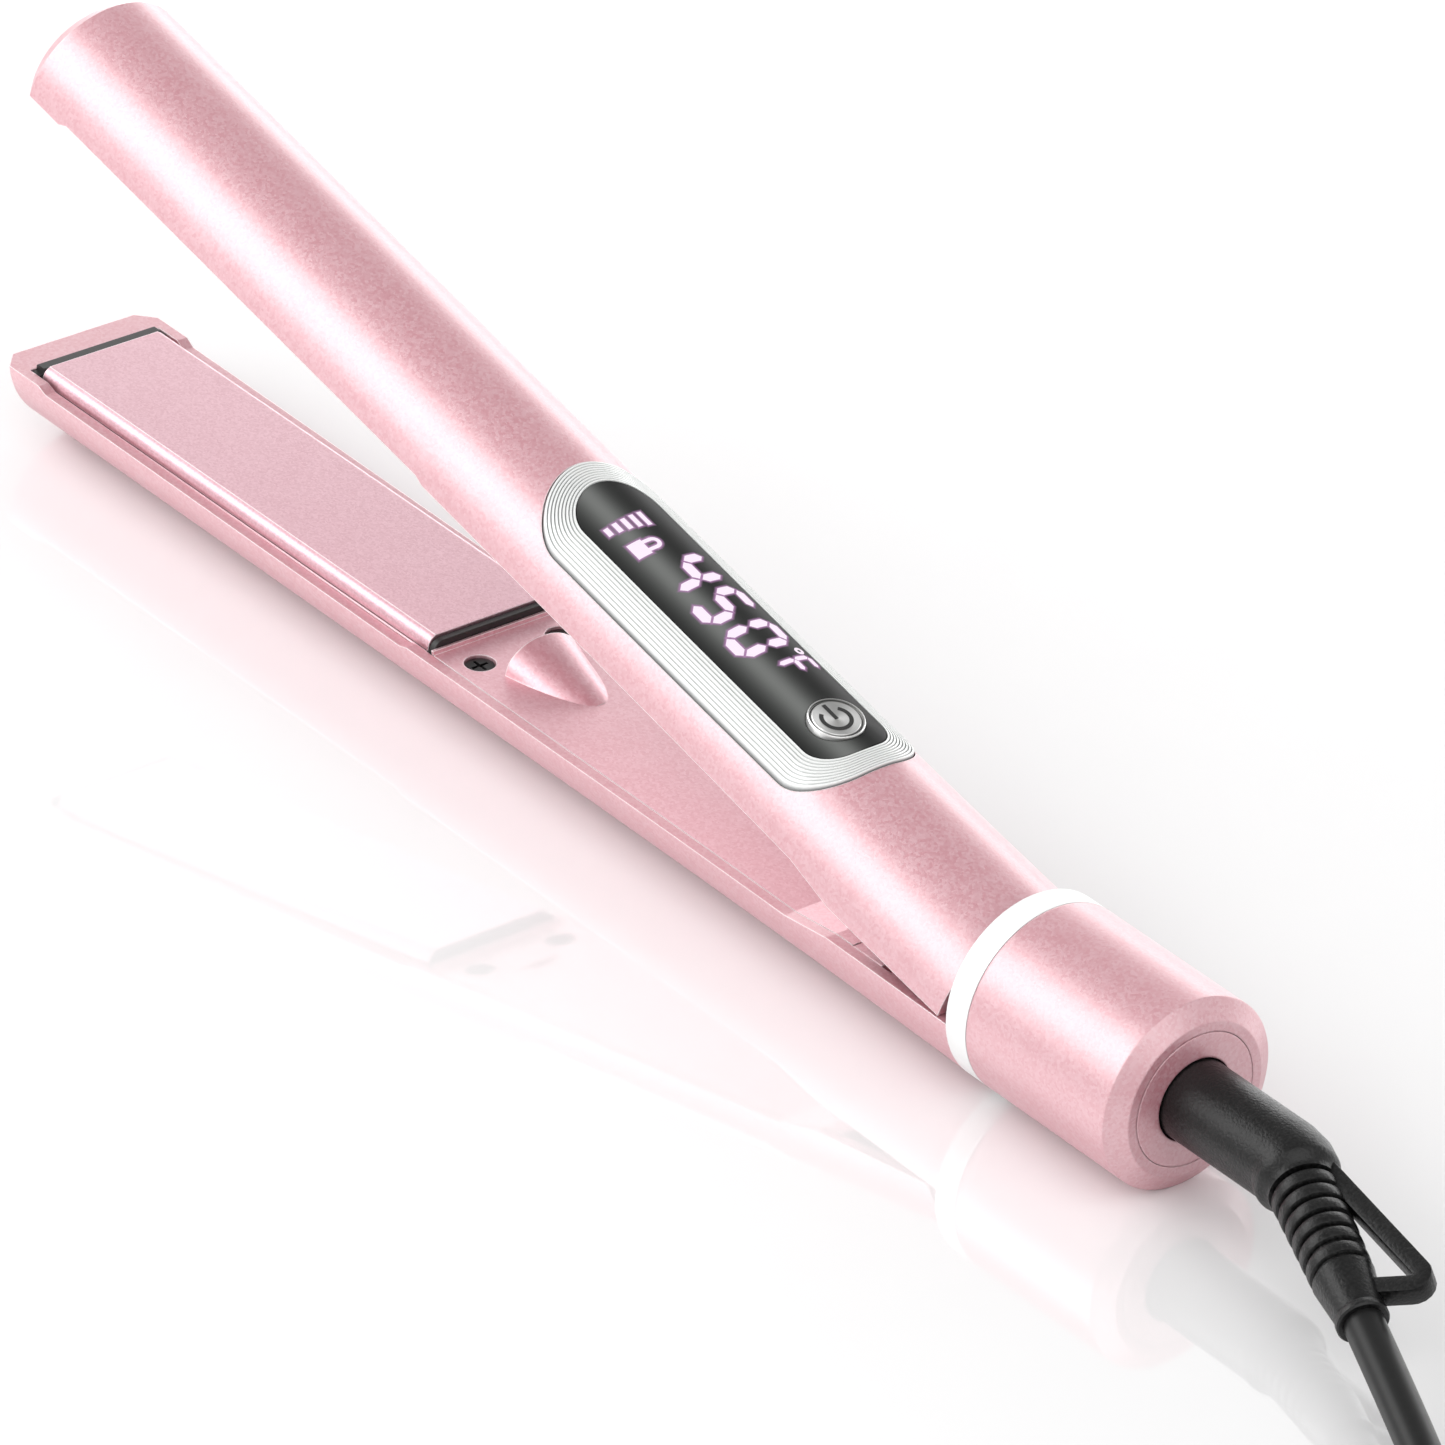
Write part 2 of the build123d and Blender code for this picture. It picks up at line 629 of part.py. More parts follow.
with BuildPart() as lower_cover_screws:
    for y in (-SCREW_Y, SCREW_Y):
        with BuildSketch(Plane.XY.offset(AXIS_Z - MID_RIM - SCREW_SINK)):
            with Locations((SCREW_X, y)):
                Circle(SCREW_HEAD_RADIUS)
        extrude(amount=SCREW_HEAD)
        with BuildSketch(Plane.XY.offset(AXIS_Z - MID_RIM - SCREW_SINK)):
            with Locations((SCREW_X, y)):
                Circle(SCREW_RADIUS)
        extrude(amount=-SCREW_LENGTH)
        with BuildSketch(Plane.XY.offset(AXIS_Z - MID_RIM - SCREW_SINK + SCREW_HEAD)):
            with Locations((SCREW_X, y)):
                Rectangle(SCREW_SLOT_LENGTH, SCREW_SLOT)
                Rectangle(SCREW_SLOT, SCREW_SLOT_LENGTH)
        extrude(amount=-SCREW_SLOT_DEPTH, mode=Mode.SUBTRACT)
save(lower_cover_screws.part, "lower_cover_screws")

with BuildPart() as lower_wires:
    for y in (-WIRE_Y, WIRE_Y):
        wire_path, _ = route(
            Vector(SLIP_X - WIRE_END_GAP, y, AXIS_Z),
            Vector(DIAL_X - WIRE_END_GAP, y, AXIS_Z),
            Vector(RING_X - WIRE_BEND, y, AXIS_Z - WIRE_DROP),
            Vector(WINDOW_END + WIRE_END_GAP, y, AXIS_Z - WIRE_DROP),
        )
        add(swept(wire_path, WIRE_RADIUS))
save(lower_wires.part, "lower_wires")

# Hinge
with BuildPart() as hinge_chassis:
    chassis_x = RING_X - CHASSIS_LENGTH
    add(
        side_prism(
            (chassis_x, -CHASSIS_TOP),
            (RING_X, -CHASSIS_TOP),
            (RING_X, -2 * REAR_RADIUS),
            (chassis_x, -2 * REAR_RADIUS),
        )
    )
    add(ARM_LINING, mode=Mode.INTERSECT)
    # Round seat of the ring, open above in front for the upper arm's rear edge
    add(tube(RING_BORE - FIT, 0, RING_X, DIAL_X))
    pocket_floor = -CHASSIS_TOP
    add(
        side_prism(
            (RING_X, pocket_floor),
            (RING_X + RING_POCKET, pocket_floor),
            (RING_X + RING_POCKET, 2 * REAR_RADIUS),
            (RING_X, 2 * REAR_RADIUS),
        ),
        mode=Mode.SUBTRACT,
    )
    # Ears round the hinge pin
    with BuildSketch(SIDE):
        with Locations((HINGE_X, HINGE_RISE)):
            Circle(LOBE_RADIUS)
            Rectangle(2 * LOBE_RADIUS, HINGE_RISE + CHASSIS_TOP + BEYOND, align=(Align.CENTER, Align.MAX))
    extrude(amount=CHASSIS_EAR_GAP / 2 + CHASSIS_EAR, both=True)
    with Locations((HINGE_X, 0, AXIS_Z - CHASSIS_TOP)):
        Box(
            2 * LOBE_RADIUS + BEYOND,
            CHASSIS_EAR_GAP,
            4 * LOBE_RADIUS,
            align=(Align.CENTER, Align.CENTER, Align.MIN),
            mode=Mode.SUBTRACT,
        )
    with BuildSketch(SIDE):
        with Locations((HINGE_X, HINGE_RISE)):
            Circle(PIN_RADIUS + FIT / 5)
    extrude(amount=REAR_RADIUS, both=True, mode=Mode.SUBTRACT)
    # Channel for the wires
    with Locations((chassis_x, 0, AXIS_Z - CHANNEL_DEPTH)):
        Box(
            CHASSIS_LENGTH,
            CHANNEL_WIDTH,
            REAR_RADIUS,
            align=(Align.MIN, Align.CENTER, Align.MIN),
            mode=Mode.SUBTRACT,
        )
    # Spindle with the two drums that carry the dial
    add(tube(SPINDLE_RADIUS, 0, DIAL_X, SPINDLE_END))
    drum_radius = DIAL_BORE - RUN
    add(tube(drum_radius, 0, DIAL_X, DIAL_X + DRUM_LENGTH))
    add(tube(drum_radius, 0, SPINDLE_END - DRUM_LENGTH, SPINDLE_END))
    # Stepped bore for the swivel rotor and the wires
    add(tube(WIRE_BORE, 0, RING_X, SLIP_X), mode=Mode.SUBTRACT)
    add(tube(SLIP_CAVITY_RADIUS, 0, SLIP_X - BEYOND, JOURNAL_X), mode=Mode.SUBTRACT)
    add(tube(JOURNAL_RADIUS + RUN, 0, SLIP_X, FLANGE_X), mode=Mode.SUBTRACT)
    add(tube(ROTOR_FLANGE_RADIUS + FREE, 0, FLANGE_X - FREE, SPINDLE_END), mode=Mode.SUBTRACT)
save(hinge_chassis.part, "hinge_chassis")

with BuildPart() as hinge_pin:
    with BuildSketch(SIDE):
        with Locations((HINGE_X, HINGE_RISE)):
            Circle(PIN_RADIUS)
    extrude(amount=CHASSIS_EAR_GAP / 2 + CHASSIS_EAR, both=True)
    chamfer(hinge_pin.edges().filter_by(GeomType.CIRCLE), PIN_CHAMFER)
save(hinge_pin.part, "hinge_pin")

with BuildPart() as hinge_washers:
    for side in (-1, 1):
        washer_y = side * (CHASSIS_EAR_GAP / 2 - RUN)
        with BuildSketch(Plane(origin=(HINGE_X, washer_y, HINGE_Z), z_dir=(0, -side, 0))):
            Circle(LOBE_RADIUS - FREE)
            Circle(PIN_RADIUS + RUN, mode=Mode.SUBTRACT)
        extrude(amount=WASHER)
save(hinge_washers.part, "hinge_washers")


def spring_station(turn):
    """Point and direction of the torsion spring's coil after a number of turns about the pin."""
    angle = 2 * pi * turn
    y = SPRING_PITCH * (turn - SPRING_TURNS / 2)
    point = Vector(HINGE_X + SPRING_RADIUS * sin(angle), y, HINGE_Z - SPRING_RADIUS * cos(angle))
    slope = SPRING_PITCH / (2 * pi * SPRING_RADIUS)
    return point, Vector(cos(angle), slope, sin(angle)).normalized()


with BuildPart() as hinge_spring:
    quarter_turns = round(4 * SPRING_TURNS)
    coil_stations = [spring_station(i / 4) for i in range(quarter_turns + 1)]
    first, last = coil_stations[0], coil_stations[-1]
    with BuildLine() as spring_line:
        Line(first[0] - first[1] * SPRING_LEG, first[0])
        add(biarc_path(coil_stations))
        Line(last[0], last[0] + last[1] * SPRING_LEG)
    add(swept_square(spring_line.wire(), SPRING_WIRE))
save(hinge_spring.part, "hinge_spring")
print("hinge spring: least gap", round(least_gap(biarc_path(coil_stations), SPRING_WIRE), 2))

# Upper arm
with BuildPart() as upper_shell:
    add(arm_blank.part.mirror(TOP))
    arm_rear = RING_X - ARM_REAR_GAP
    add(
        side_prism(
            (RAMP_END, HINGE_RIM),
            (RAMP_END, 0),
            (RING_X + BEYOND, 0),
            (RING_X + BEYOND, 2 * REAR_RADIUS),
            (arm_rear, 2 * REAR_RADIUS),
            (arm_rear, UPPER_REAR_RIM),
        ),
        mode=Mode.SUBTRACT,
    )
    with BuildPart(mode=Mode.PRIVATE) as panel_pocket:
        add(panel(BEZEL_X, BEZEL_END, BEZEL_HALF_WIDTH, BEZEL_CORNER, FIT))
        add(barrel(-PANEL_DEPTH, NOSE_X), mode=Mode.SUBTRACT)
    add(panel_pocket.part, mode=Mode.SUBTRACT)
    add(panel(LENS_X, LENS_END, LENS_HALF_WIDTH, LENS_CORNER, -PANEL_LEDGE), mode=Mode.SUBTRACT)
save(opened(upper_shell.part), "upper_shell")

with BuildPart() as upper_inner_cover:
    add(cover_blank.part.mirror(TOP))
    add(guide_cone(2 * FREE), mode=Mode.SUBTRACT)
save(opened(upper_inner_cover.part), "upper_inner_cover")

for lower, name in (
    (lower_plate_carrier, "upper_plate_carrier"),
    (lower_heating_plate, "upper_heating_plate"),
    (lower_heater, "upper_heater"),
    (lower_heater_clip, "upper_heater_clip"),
    (lower_thermal_fuse, "upper_thermal_fuse"),
    (lower_float_pads, "upper_float_pads"),
    (lower_cover_screws, "upper_cover_screws"),
):
    save(upper_copy(lower.part), name)

with BuildPart() as hinge_bracket:
    bracket_x = HINGE_X - BRACKET_LENGTH / 2
    bracket_end = HINGE_X + BRACKET_LENGTH / 2
    add(
        side_prism(
            (bracket_x, BRACKET_BASE),
            (bracket_end, BRACKET_BASE),
            (bracket_end, 2 * REAR_RADIUS),
            (bracket_x, 2 * REAR_RADIUS),
        )
    )
    add(ARM_LINING, mode=Mode.INTERSECT)
    bracket_ear_face = CHASSIS_EAR_GAP / 2 - WASHER - 2 * RUN
    with BuildSketch(SIDE):
        with Locations((HINGE_X, HINGE_RISE)):
            Circle(LOBE_RADIUS)
            Rectangle(2 * LOBE_RADIUS, BRACKET_BASE - HINGE_RISE + BEYOND, align=(Align.CENTER, Align.MIN))
    extrude(amount=bracket_ear_face, both=True)
    with Locations((HINGE_X, 0, AXIS_Z + BRACKET_BASE)):
        Box(
            2 * LOBE_RADIUS + BEYOND,
            BRACKET_EAR_GAP,
            4 * LOBE_RADIUS,
            align=(Align.CENTER, Align.CENTER, Align.MAX),
            mode=Mode.SUBTRACT,
        )
    with BuildSketch(SIDE):
        with Locations((HINGE_X, HINGE_RISE)):
            Circle(PIN_RADIUS + RUN)
    extrude(amount=REAR_RADIUS, both=True, mode=Mode.SUBTRACT)
save(opened(hinge_bracket.part), "hinge_bracket")

with BuildPart() as display_bezel:
    add(barrel(BEZEL_PROUD, NOSE_X))
    add(panel(BEZEL_X, BEZEL_END, BEZEL_HALF_WIDTH, BEZEL_CORNER), mode=Mode.INTERSECT)
    add(barrel(FIT - PANEL_DEPTH, NOSE_X), mode=Mode.SUBTRACT)
    add(panel(LENS_X, LENS_END, LENS_HALF_WIDTH, LENS_CORNER), mode=Mode.SUBTRACT)
save(opened(display_bezel.part), "display_bezel")

with BuildPart() as display_lens:
    add(barrel(LENS_PROUD, NOSE_X))
    add(panel(LENS_X, LENS_END, LENS_HALF_WIDTH, LENS_CORNER, -FIT), mode=Mode.INTERSECT)
    add(barrel(FIT - PANEL_DEPTH, NOSE_X), mode=Mode.SUBTRACT)
    with Locations((BUTTON_X, 0, AXIS_Z)):
        Cylinder(
            BUTTON_RADIUS + FIT,
            2 * REAR_RADIUS,
            align=(Align.CENTER, Align.CENTER, Align.MIN),
            mode=Mode.SUBTRACT,
        )
save(opened(display_lens.part), "display_lens")

BUTTON_TOP = ARM_RADIUS + flare(BUTTON_X) + BUTTON_PROUD
DISH_RADIUS = BUTTON_RADIUS - 2 * BUTTON_CHAMFER - BUTTON_RIM
flange_radius = BUTTON_RADIUS + BUTTON_FLANGE
FLANGE_TOP = sqrt((ARM_RADIUS + FIT - PANEL_DEPTH) ** 2 - flange_radius**2) - FREE
SWITCH_TOP = BOARD_TOP + SWITCH_HEIGHT
PLUNGER_TOP = SWITCH_TOP + PLUNGER_DEPTH / 2

with BuildPart() as power_button:
    with BuildSketch(SIDE):
        with BuildLine():
            Polyline(
                (BUTTON_X, PLUNGER_TOP),
                (BUTTON_X + BUTTON_STEM_RADIUS, PLUNGER_TOP),
                (BUTTON_X + BUTTON_STEM_RADIUS, FLANGE_TOP - BUTTON_FLANGE),
                (BUTTON_X + flange_radius, FLANGE_TOP - BUTTON_FLANGE),
                (BUTTON_X + flange_radius, FLANGE_TOP),
                (BUTTON_X + BUTTON_RADIUS, FLANGE_TOP),
                (BUTTON_X + BUTTON_RADIUS, BUTTON_TOP - BUTTON_CHAMFER),
                (BUTTON_X + BUTTON_RADIUS - BUTTON_CHAMFER, BUTTON_TOP),
                (BUTTON_X + DISH_RADIUS + BUTTON_CHAMFER, BUTTON_TOP),
                (BUTTON_X + DISH_RADIUS, BUTTON_TOP - BUTTON_DISH),
                (BUTTON_X, BUTTON_TOP - BUTTON_DISH),
                close=True,
            )
        make_face()
    revolve(axis=Axis((BUTTON_X, 0, AXIS_Z), (0, 0, 1)))
save(opened(power_button.part), "power_button")

with BuildPart() as switch_plunger:
    with Locations((BUTTON_X, 0, AXIS_Z + PLUNGER_TOP)):
        Cylinder(PLUNGER_RADIUS, PLUNGER_DEPTH, align=(Align.CENTER, Align.CENTER, Align.MAX))
save(opened(switch_plunger.part), "switch_plunger")

with BuildPart() as tact_switch:
    with Locations((BUTTON_X, 0, AXIS_Z + BOARD_TOP)):
        Box(SWITCH_SIZE, SWITCH_SIZE, SWITCH_HEIGHT, align=(Align.CENTER, Align.CENTER, Align.MIN))
    with Locations((BUTTON_X, 0, AXIS_Z + SWITCH_TOP)):
        Cylinder(
            PLUNGER_RADIUS + FIT,
            2 * (PLUNGER_DEPTH / 2 + BUTTON_TRAVEL + FREE),
            mode=Mode.SUBTRACT,
        )
save(opened(tact_switch.part), "tact_switch")

with BuildPart() as control_board:
    board_half = sqrt(ARM_BORE**2 - BOARD_TOP**2) - 2 * FIT
    board_x = BEZEL_X + BOARD_INSET
    board_end = BEZEL_END - BOARD_INSET
    with Locations(((board_x + board_end) / 2, 0, AXIS_Z + BOARD_TOP)):
        Box(
            board_end - board_x,
            2 * board_half,
            BOARD_SHEET,
            align=(Align.CENTER, Align.CENTER, Align.MAX),
        )
save(opened(control_board.part), "control_board")

with BuildPart() as light_module:
    with Locations((LENS_X + LENS_HALF_WIDTH, 0, AXIS_Z + BOARD_TOP)):
        Box(
            MODULE_LENGTH,
            2 * MODULE_HALF_WIDTH,
            MODULE_HEIGHT,
            align=(Align.MIN, Align.CENTER, Align.MIN),
        )
save(opened(light_module.part), "light_module")

with BuildPart() as upper_wires:
    for y in (-WIRE_Y, WIRE_Y):
        wire_path = straight(
            (HINGE_X - BRACKET_LENGTH, y, AXIS_Z + UPPER_WIRE_RISE),
            (WINDOW_END + WIRE_END_GAP, y, AXIS_Z + UPPER_WIRE_RISE),
        )
        add(swept(wire_path, WIRE_RADIUS))
save(opened(upper_wires.part), "upper_wires")

# Rear end
with BuildPart() as collar_ring:
    add(tube(REAR_RADIUS, RING_BORE, RING_X, DIAL_X))
save(collar_ring.part, "collar_ring")

with BuildPart() as temperature_dial:
    with BuildSketch(SIDE):
        with BuildLine():
            Polyline(
                (DIAL_X + DIAL_GAP, DIAL_BORE),
                (DIAL_X + DIAL_GAP, REAR_RADIUS),
                (END_X - DIAL_CHAMFER_LENGTH, REAR_RADIUS),
                (END_X, REAR_RADIUS - DIAL_CHAMFER_DEPTH),
                (END_X, DISC_RADIUS + FIT),
                (END_X - DIAL_LIP, DISC_RADIUS + FIT),
                (END_X - DIAL_LIP, DIAL_BORE),
                close=True,
            )
        make_face()
    revolve(axis=MAIN_AXIS)
save(temperature_dial.part, "temperature_dial")

with BuildPart() as end_disc:
    add(tube(DISC_RADIUS, NECK_RADIUS + FREE, SPINDLE_END, END_X))
    add(tube(DISC_FLANGE_RADIUS, NECK_RADIUS + FREE, SPINDLE_END, SPINDLE_END + DISC_FLANGE))
save(end_disc.part, "end_disc")

ENCODER_X = DIAL_X + ENCODER_SETBACK
CONTACT_X = ENCODER_X + ENCODER_SHEET + CONTACT_GAP
CONTACT_BORE = DIAL_BORE - CONTACT_WALL

with BuildPart() as encoder_board:
    add(tube(DIAL_BORE - 2 * FREE, SPINDLE_RADIUS + FIT / 2, ENCODER_X, ENCODER_X + ENCODER_SHEET))
save(encoder_board.part, "encoder_board")

with BuildPart() as dial_contact_ring:
    add(tube(DIAL_BORE - FIT / 2, CONTACT_BORE, CONTACT_X, CONTACT_X + CONTACT_WIDTH))
    with BuildSketch(across(CONTACT_X)):
        with PolarLocations(CONTACT_BORE, DETENTS):
            Circle(DETENT_DEPTH)
    extrude(amount=CONTACT_WIDTH, mode=Mode.SUBTRACT)
save(dial_contact_ring.part, "dial_contact_ring")

with BuildPart() as dial_detent_spring:
    strip_top = CONTACT_BORE - FREE - DETENT_STRIP / 2
    with BuildSketch(across(CONTACT_X)):
        with BuildLine():
            strip_foot = SPINDLE_RADIUS + FIT
            Polyline((-DETENT_HALF_SPAN, strip_foot), (0, strip_top), (DETENT_HALF_SPAN, strip_foot))
            offset(amount=DETENT_STRIP, side=Side.RIGHT)
        make_face()
    extrude(amount=CONTACT_WIDTH)
    add(tube(SPINDLE_RADIUS + FIT / 2, 0, CONTACT_X, CONTACT_X + CONTACT_WIDTH), mode=Mode.SUBTRACT)
save(dial_detent_spring.part, "dial_detent_spring")

# Cord swivel
SLIP_RING_PLACES = [SLIP_X + SLIP_RING_SETBACK + i * SLIP_RING_PITCH for i in range(2)]
SLIP_RING_RADIUS = SLIP_STEM_RADIUS + SLIP_RING_WALL

with BuildPart() as swivel_rotor:
    add(tube(SLIP_STEM_RADIUS, 0, SLIP_X, JOURNAL_X))
    add(tube(JOURNAL_RADIUS, 0, JOURNAL_X, FLANGE_X))
    add(tube(ROTOR_FLANGE_RADIUS, 0, FLANGE_X, ROTOR_END))
save(swivel_rotor.part, "swivel_rotor")

with BuildPart() as slip_rings:
    for x in SLIP_RING_PLACES:
        add(tube(SLIP_RING_RADIUS, SLIP_STEM_RADIUS + FIT / 5, x, x + SLIP_RING_WIDTH))
save(slip_rings.part, "slip_rings")

with BuildPart() as contact_brushes:
    for x in SLIP_RING_PLACES:
        with Locations((x + SLIP_RING_WIDTH / 2, 0, AXIS_Z + SLIP_RING_RADIUS + RUN)):
            Box(
                SLIP_RING_WIDTH - 2 * FIT,
                SLIP_RING_WIDTH,
                SLIP_CAVITY_RADIUS - SLIP_RING_RADIUS - RUN - 2 * FIT,
                align=(Align.CENTER, Align.CENTER, Align.MIN),
            )
save(contact_brushes.part, "contact_brushes")

# Strain relief: neck, elbow, ribbed leg and hanging loop in one moulding
OUTWARD = (Vector(1, 0, 0) * BEND_DIRECTION.X - BEND_DIRECTION).normalized()
BEND_PLANE = Plane(origin=ELBOW, x_dir=(1, 0, 0), z_dir=Vector(1, 0, 0).cross(OUTWARD))
LEG_PLANE = Plane(origin=ELBOW, x_dir=BEND_DIRECTION, z_dir=Vector(1, 0, 0).cross(OUTWARD))
RIB_START = TAPER_START + TAPER_LENGTH
RIB_END = RIB_START + RIBS * RIB_PITCH
# Loop's centre line in the bend plane: along the outer side, round the corner, back to the collar
LOOP_LINE = ((-1.5, 3.6), (35.0, -3.0), (27.0, -9.8))

with BuildPart() as strain_relief:
    with BuildLine() as neck_line:
        neck_end = ELBOW + BEND_DIRECTION * (TAPER_START + NECK_OVERLAP)
        FilletPolyline((ROTOR_END, 0, AXIS_Z), ELBOW, neck_end, radius=ELBOW_RADIUS)
    with BuildSketch(across(ROTOR_END)):
        Circle(NECK_RADIUS)
    sweep(path=neck_line.line)
    with BuildSketch(LEG_PLANE):
        with BuildLine():
            Polyline((RIB_START, RIB_ROOT), (RIB_START, RIB_RADIUS), (TAPER_START, NECK_RADIUS))
            Polyline((TAPER_START, NECK_RADIUS), (TAPER_START, 0), (LEG_LENGTH, 0))
            Polyline((LEG_LENGTH, 0), (LEG_LENGTH, COLLAR_END_RADIUS), (RIB_END, COLLAR_RADIUS))
            Line((RIB_END, COLLAR_RADIUS), (RIB_END, RIB_ROOT))
            for i in range(RIBS):
                rib = RIB_START + i * RIB_PITCH
                ThreePointArc((rib, RIB_ROOT), (rib + RIB_PITCH / 2, RIB_RADIUS), (rib + RIB_PITCH, RIB_ROOT))
        make_face()
    revolve(axis=Axis(ELBOW, BEND_DIRECTION))
    with BuildSketch(BEND_PLANE):
        with BuildLine() as loop_line:
            FilletPolyline(*LOOP_LINE, radius=LOOP_CORNER_RADIUS)
        trace(loop_line.line, line_width=LOOP_STRIP)
    extrude(amount=LOOP_THICKNESS / 2, both=True)
save(strain_relief.part, "strain_relief")

# Cord from the collar to the hank
HANK_BASE = TIE_SHEET + TIE_GAP + CORD_RADIUS
HANK_RISE = LAYER_RISE * (HANK_RUNS // LAYER_RUNS)
HANK_START = HANK_CENTRE + Vector(-HANK_RUN / 2, -HANK_REACH, HANK_BASE)
STRAIGHT_END = 2 * CORD_RADIUS
LEAD_POINTS = (
    COLLAR_END,
    COLLAR_END + BEND_DIRECTION * LEAD_RUN,
    Vector(END_X + 87.6, -27.7, HANK_BASE + 0.55),
    HANK_START - Vector(STRAIGHT_END + LEAD_LAST_RUN, 0, 0),
    HANK_START - Vector(STRAIGHT_END, 0, 0),
)
lead_path, lead_radii = route(*LEAD_POINTS)
lead_tube, lead_volume = swept_cord(lead_path)
with BuildPart() as cord_lead:
    add(lead_tube)
save(cord_lead.part, "cord_lead")
print("lead: radii", [round(r) for r in lead_radii], "length", round(lead_path.length, 1))
print("lead: volume", round(cord_lead.part.volume), "of", round(lead_volume))


def hank_run(number):
    """Stations at the start, the waist and the end of one of the hank's runs.

    Runs lie on either side by turns. They step inwards and out again by half a pitch each, and the run
    where the step reverses climbs a layer.
    """
    side = -1 if number % 2 == 0 else 1
    inward = LAYER_RUNS - 1 - abs((number + 1) % (2 * LAYER_RUNS) - LAYER_RUNS)
    reach = HANK_REACH - HANK_PITCH * inward / 2
    low, high = (HANK_BASE + LAYER_RISE * (count // LAYER_RUNS) for count in (number, number + 1))
    along = Vector(-side, 0, 0)
    steepest = 1.5 * (high - low) / HANK_RUN
    start = HANK_CENTRE + Vector(side * HANK_RUN / 2, side * reach, low)
    waist = HANK_CENTRE + Vector(0, side * (reach - HANK_DRAW), (low + high) / 2)
    end = HANK_CENTRE + Vector(-side * HANK_RUN / 2, side * reach, high)
    return (start, along), (waist, (along + Vector(0, 0, steepest)).normalized()), (end, along)


stations = [station for number in range(HANK_RUNS) for station in hank_run(number)]
# After a last fold the tail rises over the tie to the plug on top
tail_start, tail_way = hank_run(HANK_RUNS)[0]
PLUG_RISE = HANK_BASE + HANK_RISE + CORD_RADIUS + PLUG_BODY[2] / 2 + FREE
plug_start = Vector(tail_start.X + tail_way.X * TAIL_RUN, HANK_CENTRE.Y - TAIL_SIDE, PLUG_RISE)
stations += [(tail_start, tail_way), (plug_start, tail_way)]
TAIL_END = plug_start + tail_way * STRAIGHT_END

with BuildLine() as hank_line:
    Line(HANK_START - Vector(STRAIGHT_END, 0, 0), HANK_START)
    add(biarc_path(stations))
    Line(plug_start, TAIL_END)
hank_path = hank_line.wire()
hank_tube, hank_volume = swept_cord(hank_path)
with BuildPart() as cord_hank:
    add(hank_tube)
save(cord_hank.part, "cord_hank")
hank_length = hank_path.length
print("hank: length", round(hank_length), "least gap", round(least_gap(hank_path, 2 * CORD_RADIUS), 2))
print("hank: volume", round(cord_hank.part.volume), "of", round(hank_volume))
print("cord: length", round(lead_path.length + hank_length))

# Tie round the hank's waist, where the runs lie from one pitch inside to half a pitch outside the first
with BuildPart() as cord_tie:
    bundle_half = HANK_REACH - HANK_DRAW + HANK_PITCH / 4 + CORD_RADIUS + TIE_SIDE_GAP
    bundle_height = HANK_RISE + 2 * (CORD_RADIUS + TIE_GAP)
    tie_origin = HANK_CENTRE + Vector(0, HANK_PITCH / 4, TIE_SHEET + bundle_height / 2)
    with BuildSketch(Plane(origin=tie_origin, x_dir=(0, 1, 0), z_dir=(1, 0, 0))):
        RectangleRounded(2 * (bundle_half + TIE_SHEET), bundle_height + 2 * TIE_SHEET, TIE_CORNER)
        RectangleRounded(2 * bundle_half, bundle_height, TIE_CORNER - TIE_SHEET, mode=Mode.SUBTRACT)
    extrude(amount=TIE_WIDTH / 2, both=True)
save(cord_tie.part, "cord_tie")

# Plug on top of the hank
PLUG_PLANE = Plane(origin=TAIL_END, x_dir=tail_way.cross(Vector(0, 0, 1)), z_dir=tail_way)
with BuildPart() as plug_body:
    with BuildSketch(PLUG_PLANE):
        Circle(CORD_RADIUS + PLUG_RELIEF_WALL)
    with BuildSketch(PLUG_PLANE.offset(PLUG_RELIEF)):
        Circle(PLUG_RELIEF_RADIUS)
    loft(ruled=True)
    with BuildSketch(PLUG_PLANE.offset(PLUG_RELIEF)):
        RectangleRounded(PLUG_SHOULDER[1], PLUG_SHOULDER[2], PLUG_CORNER)
    with BuildSketch(PLUG_PLANE.offset(PLUG_RELIEF + PLUG_SHOULDER[0])):
        RectangleRounded(PLUG_BODY[1], PLUG_BODY[2], PLUG_CORNER)
    loft(ruled=True)
    with BuildSketch(PLUG_PLANE.offset(PLUG_RELIEF + PLUG_SHOULDER[0])):
        RectangleRounded(PLUG_BODY[1], PLUG_BODY[2], PLUG_CORNER)
    extrude(amount=PLUG_BODY[0] - PLUG_SHOULDER[0])
save(plug_body.part, "plug_body")

with BuildPart() as plug_blades:
    with BuildSketch(PLUG_PLANE.offset(PLUG_RELIEF + PLUG_BODY[0])):
        with GridLocations(BLADE_PITCH, 0, 2, 1):
            Rectangle(BLADE_SIZE[2], BLADE_SIZE[1])
    extrude(amount=BLADE_SIZE[0])
save(plug_blades.part, "plug_blades")
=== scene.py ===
"""Looks of a hinged hair straightener with rounded barrels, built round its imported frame.

Sizes are in millimetres and degrees, and meshes are written in metres. Pieces of the upper arm are
shaped closed on the lower arm, where the barrel lies along X, and then turned open about the hinge
pin.
"""

from __future__ import annotations

import json
import logging
import math
from abc import ABC, abstractmethod
from dataclasses import dataclass, field, replace
from enum import Enum
from typing import Any, Iterable, Mapping, Sequence

import bmesh
import bpy
from bmesh.types import BMEdge, BMesh, BMVert
from mathutils import Matrix, Vector

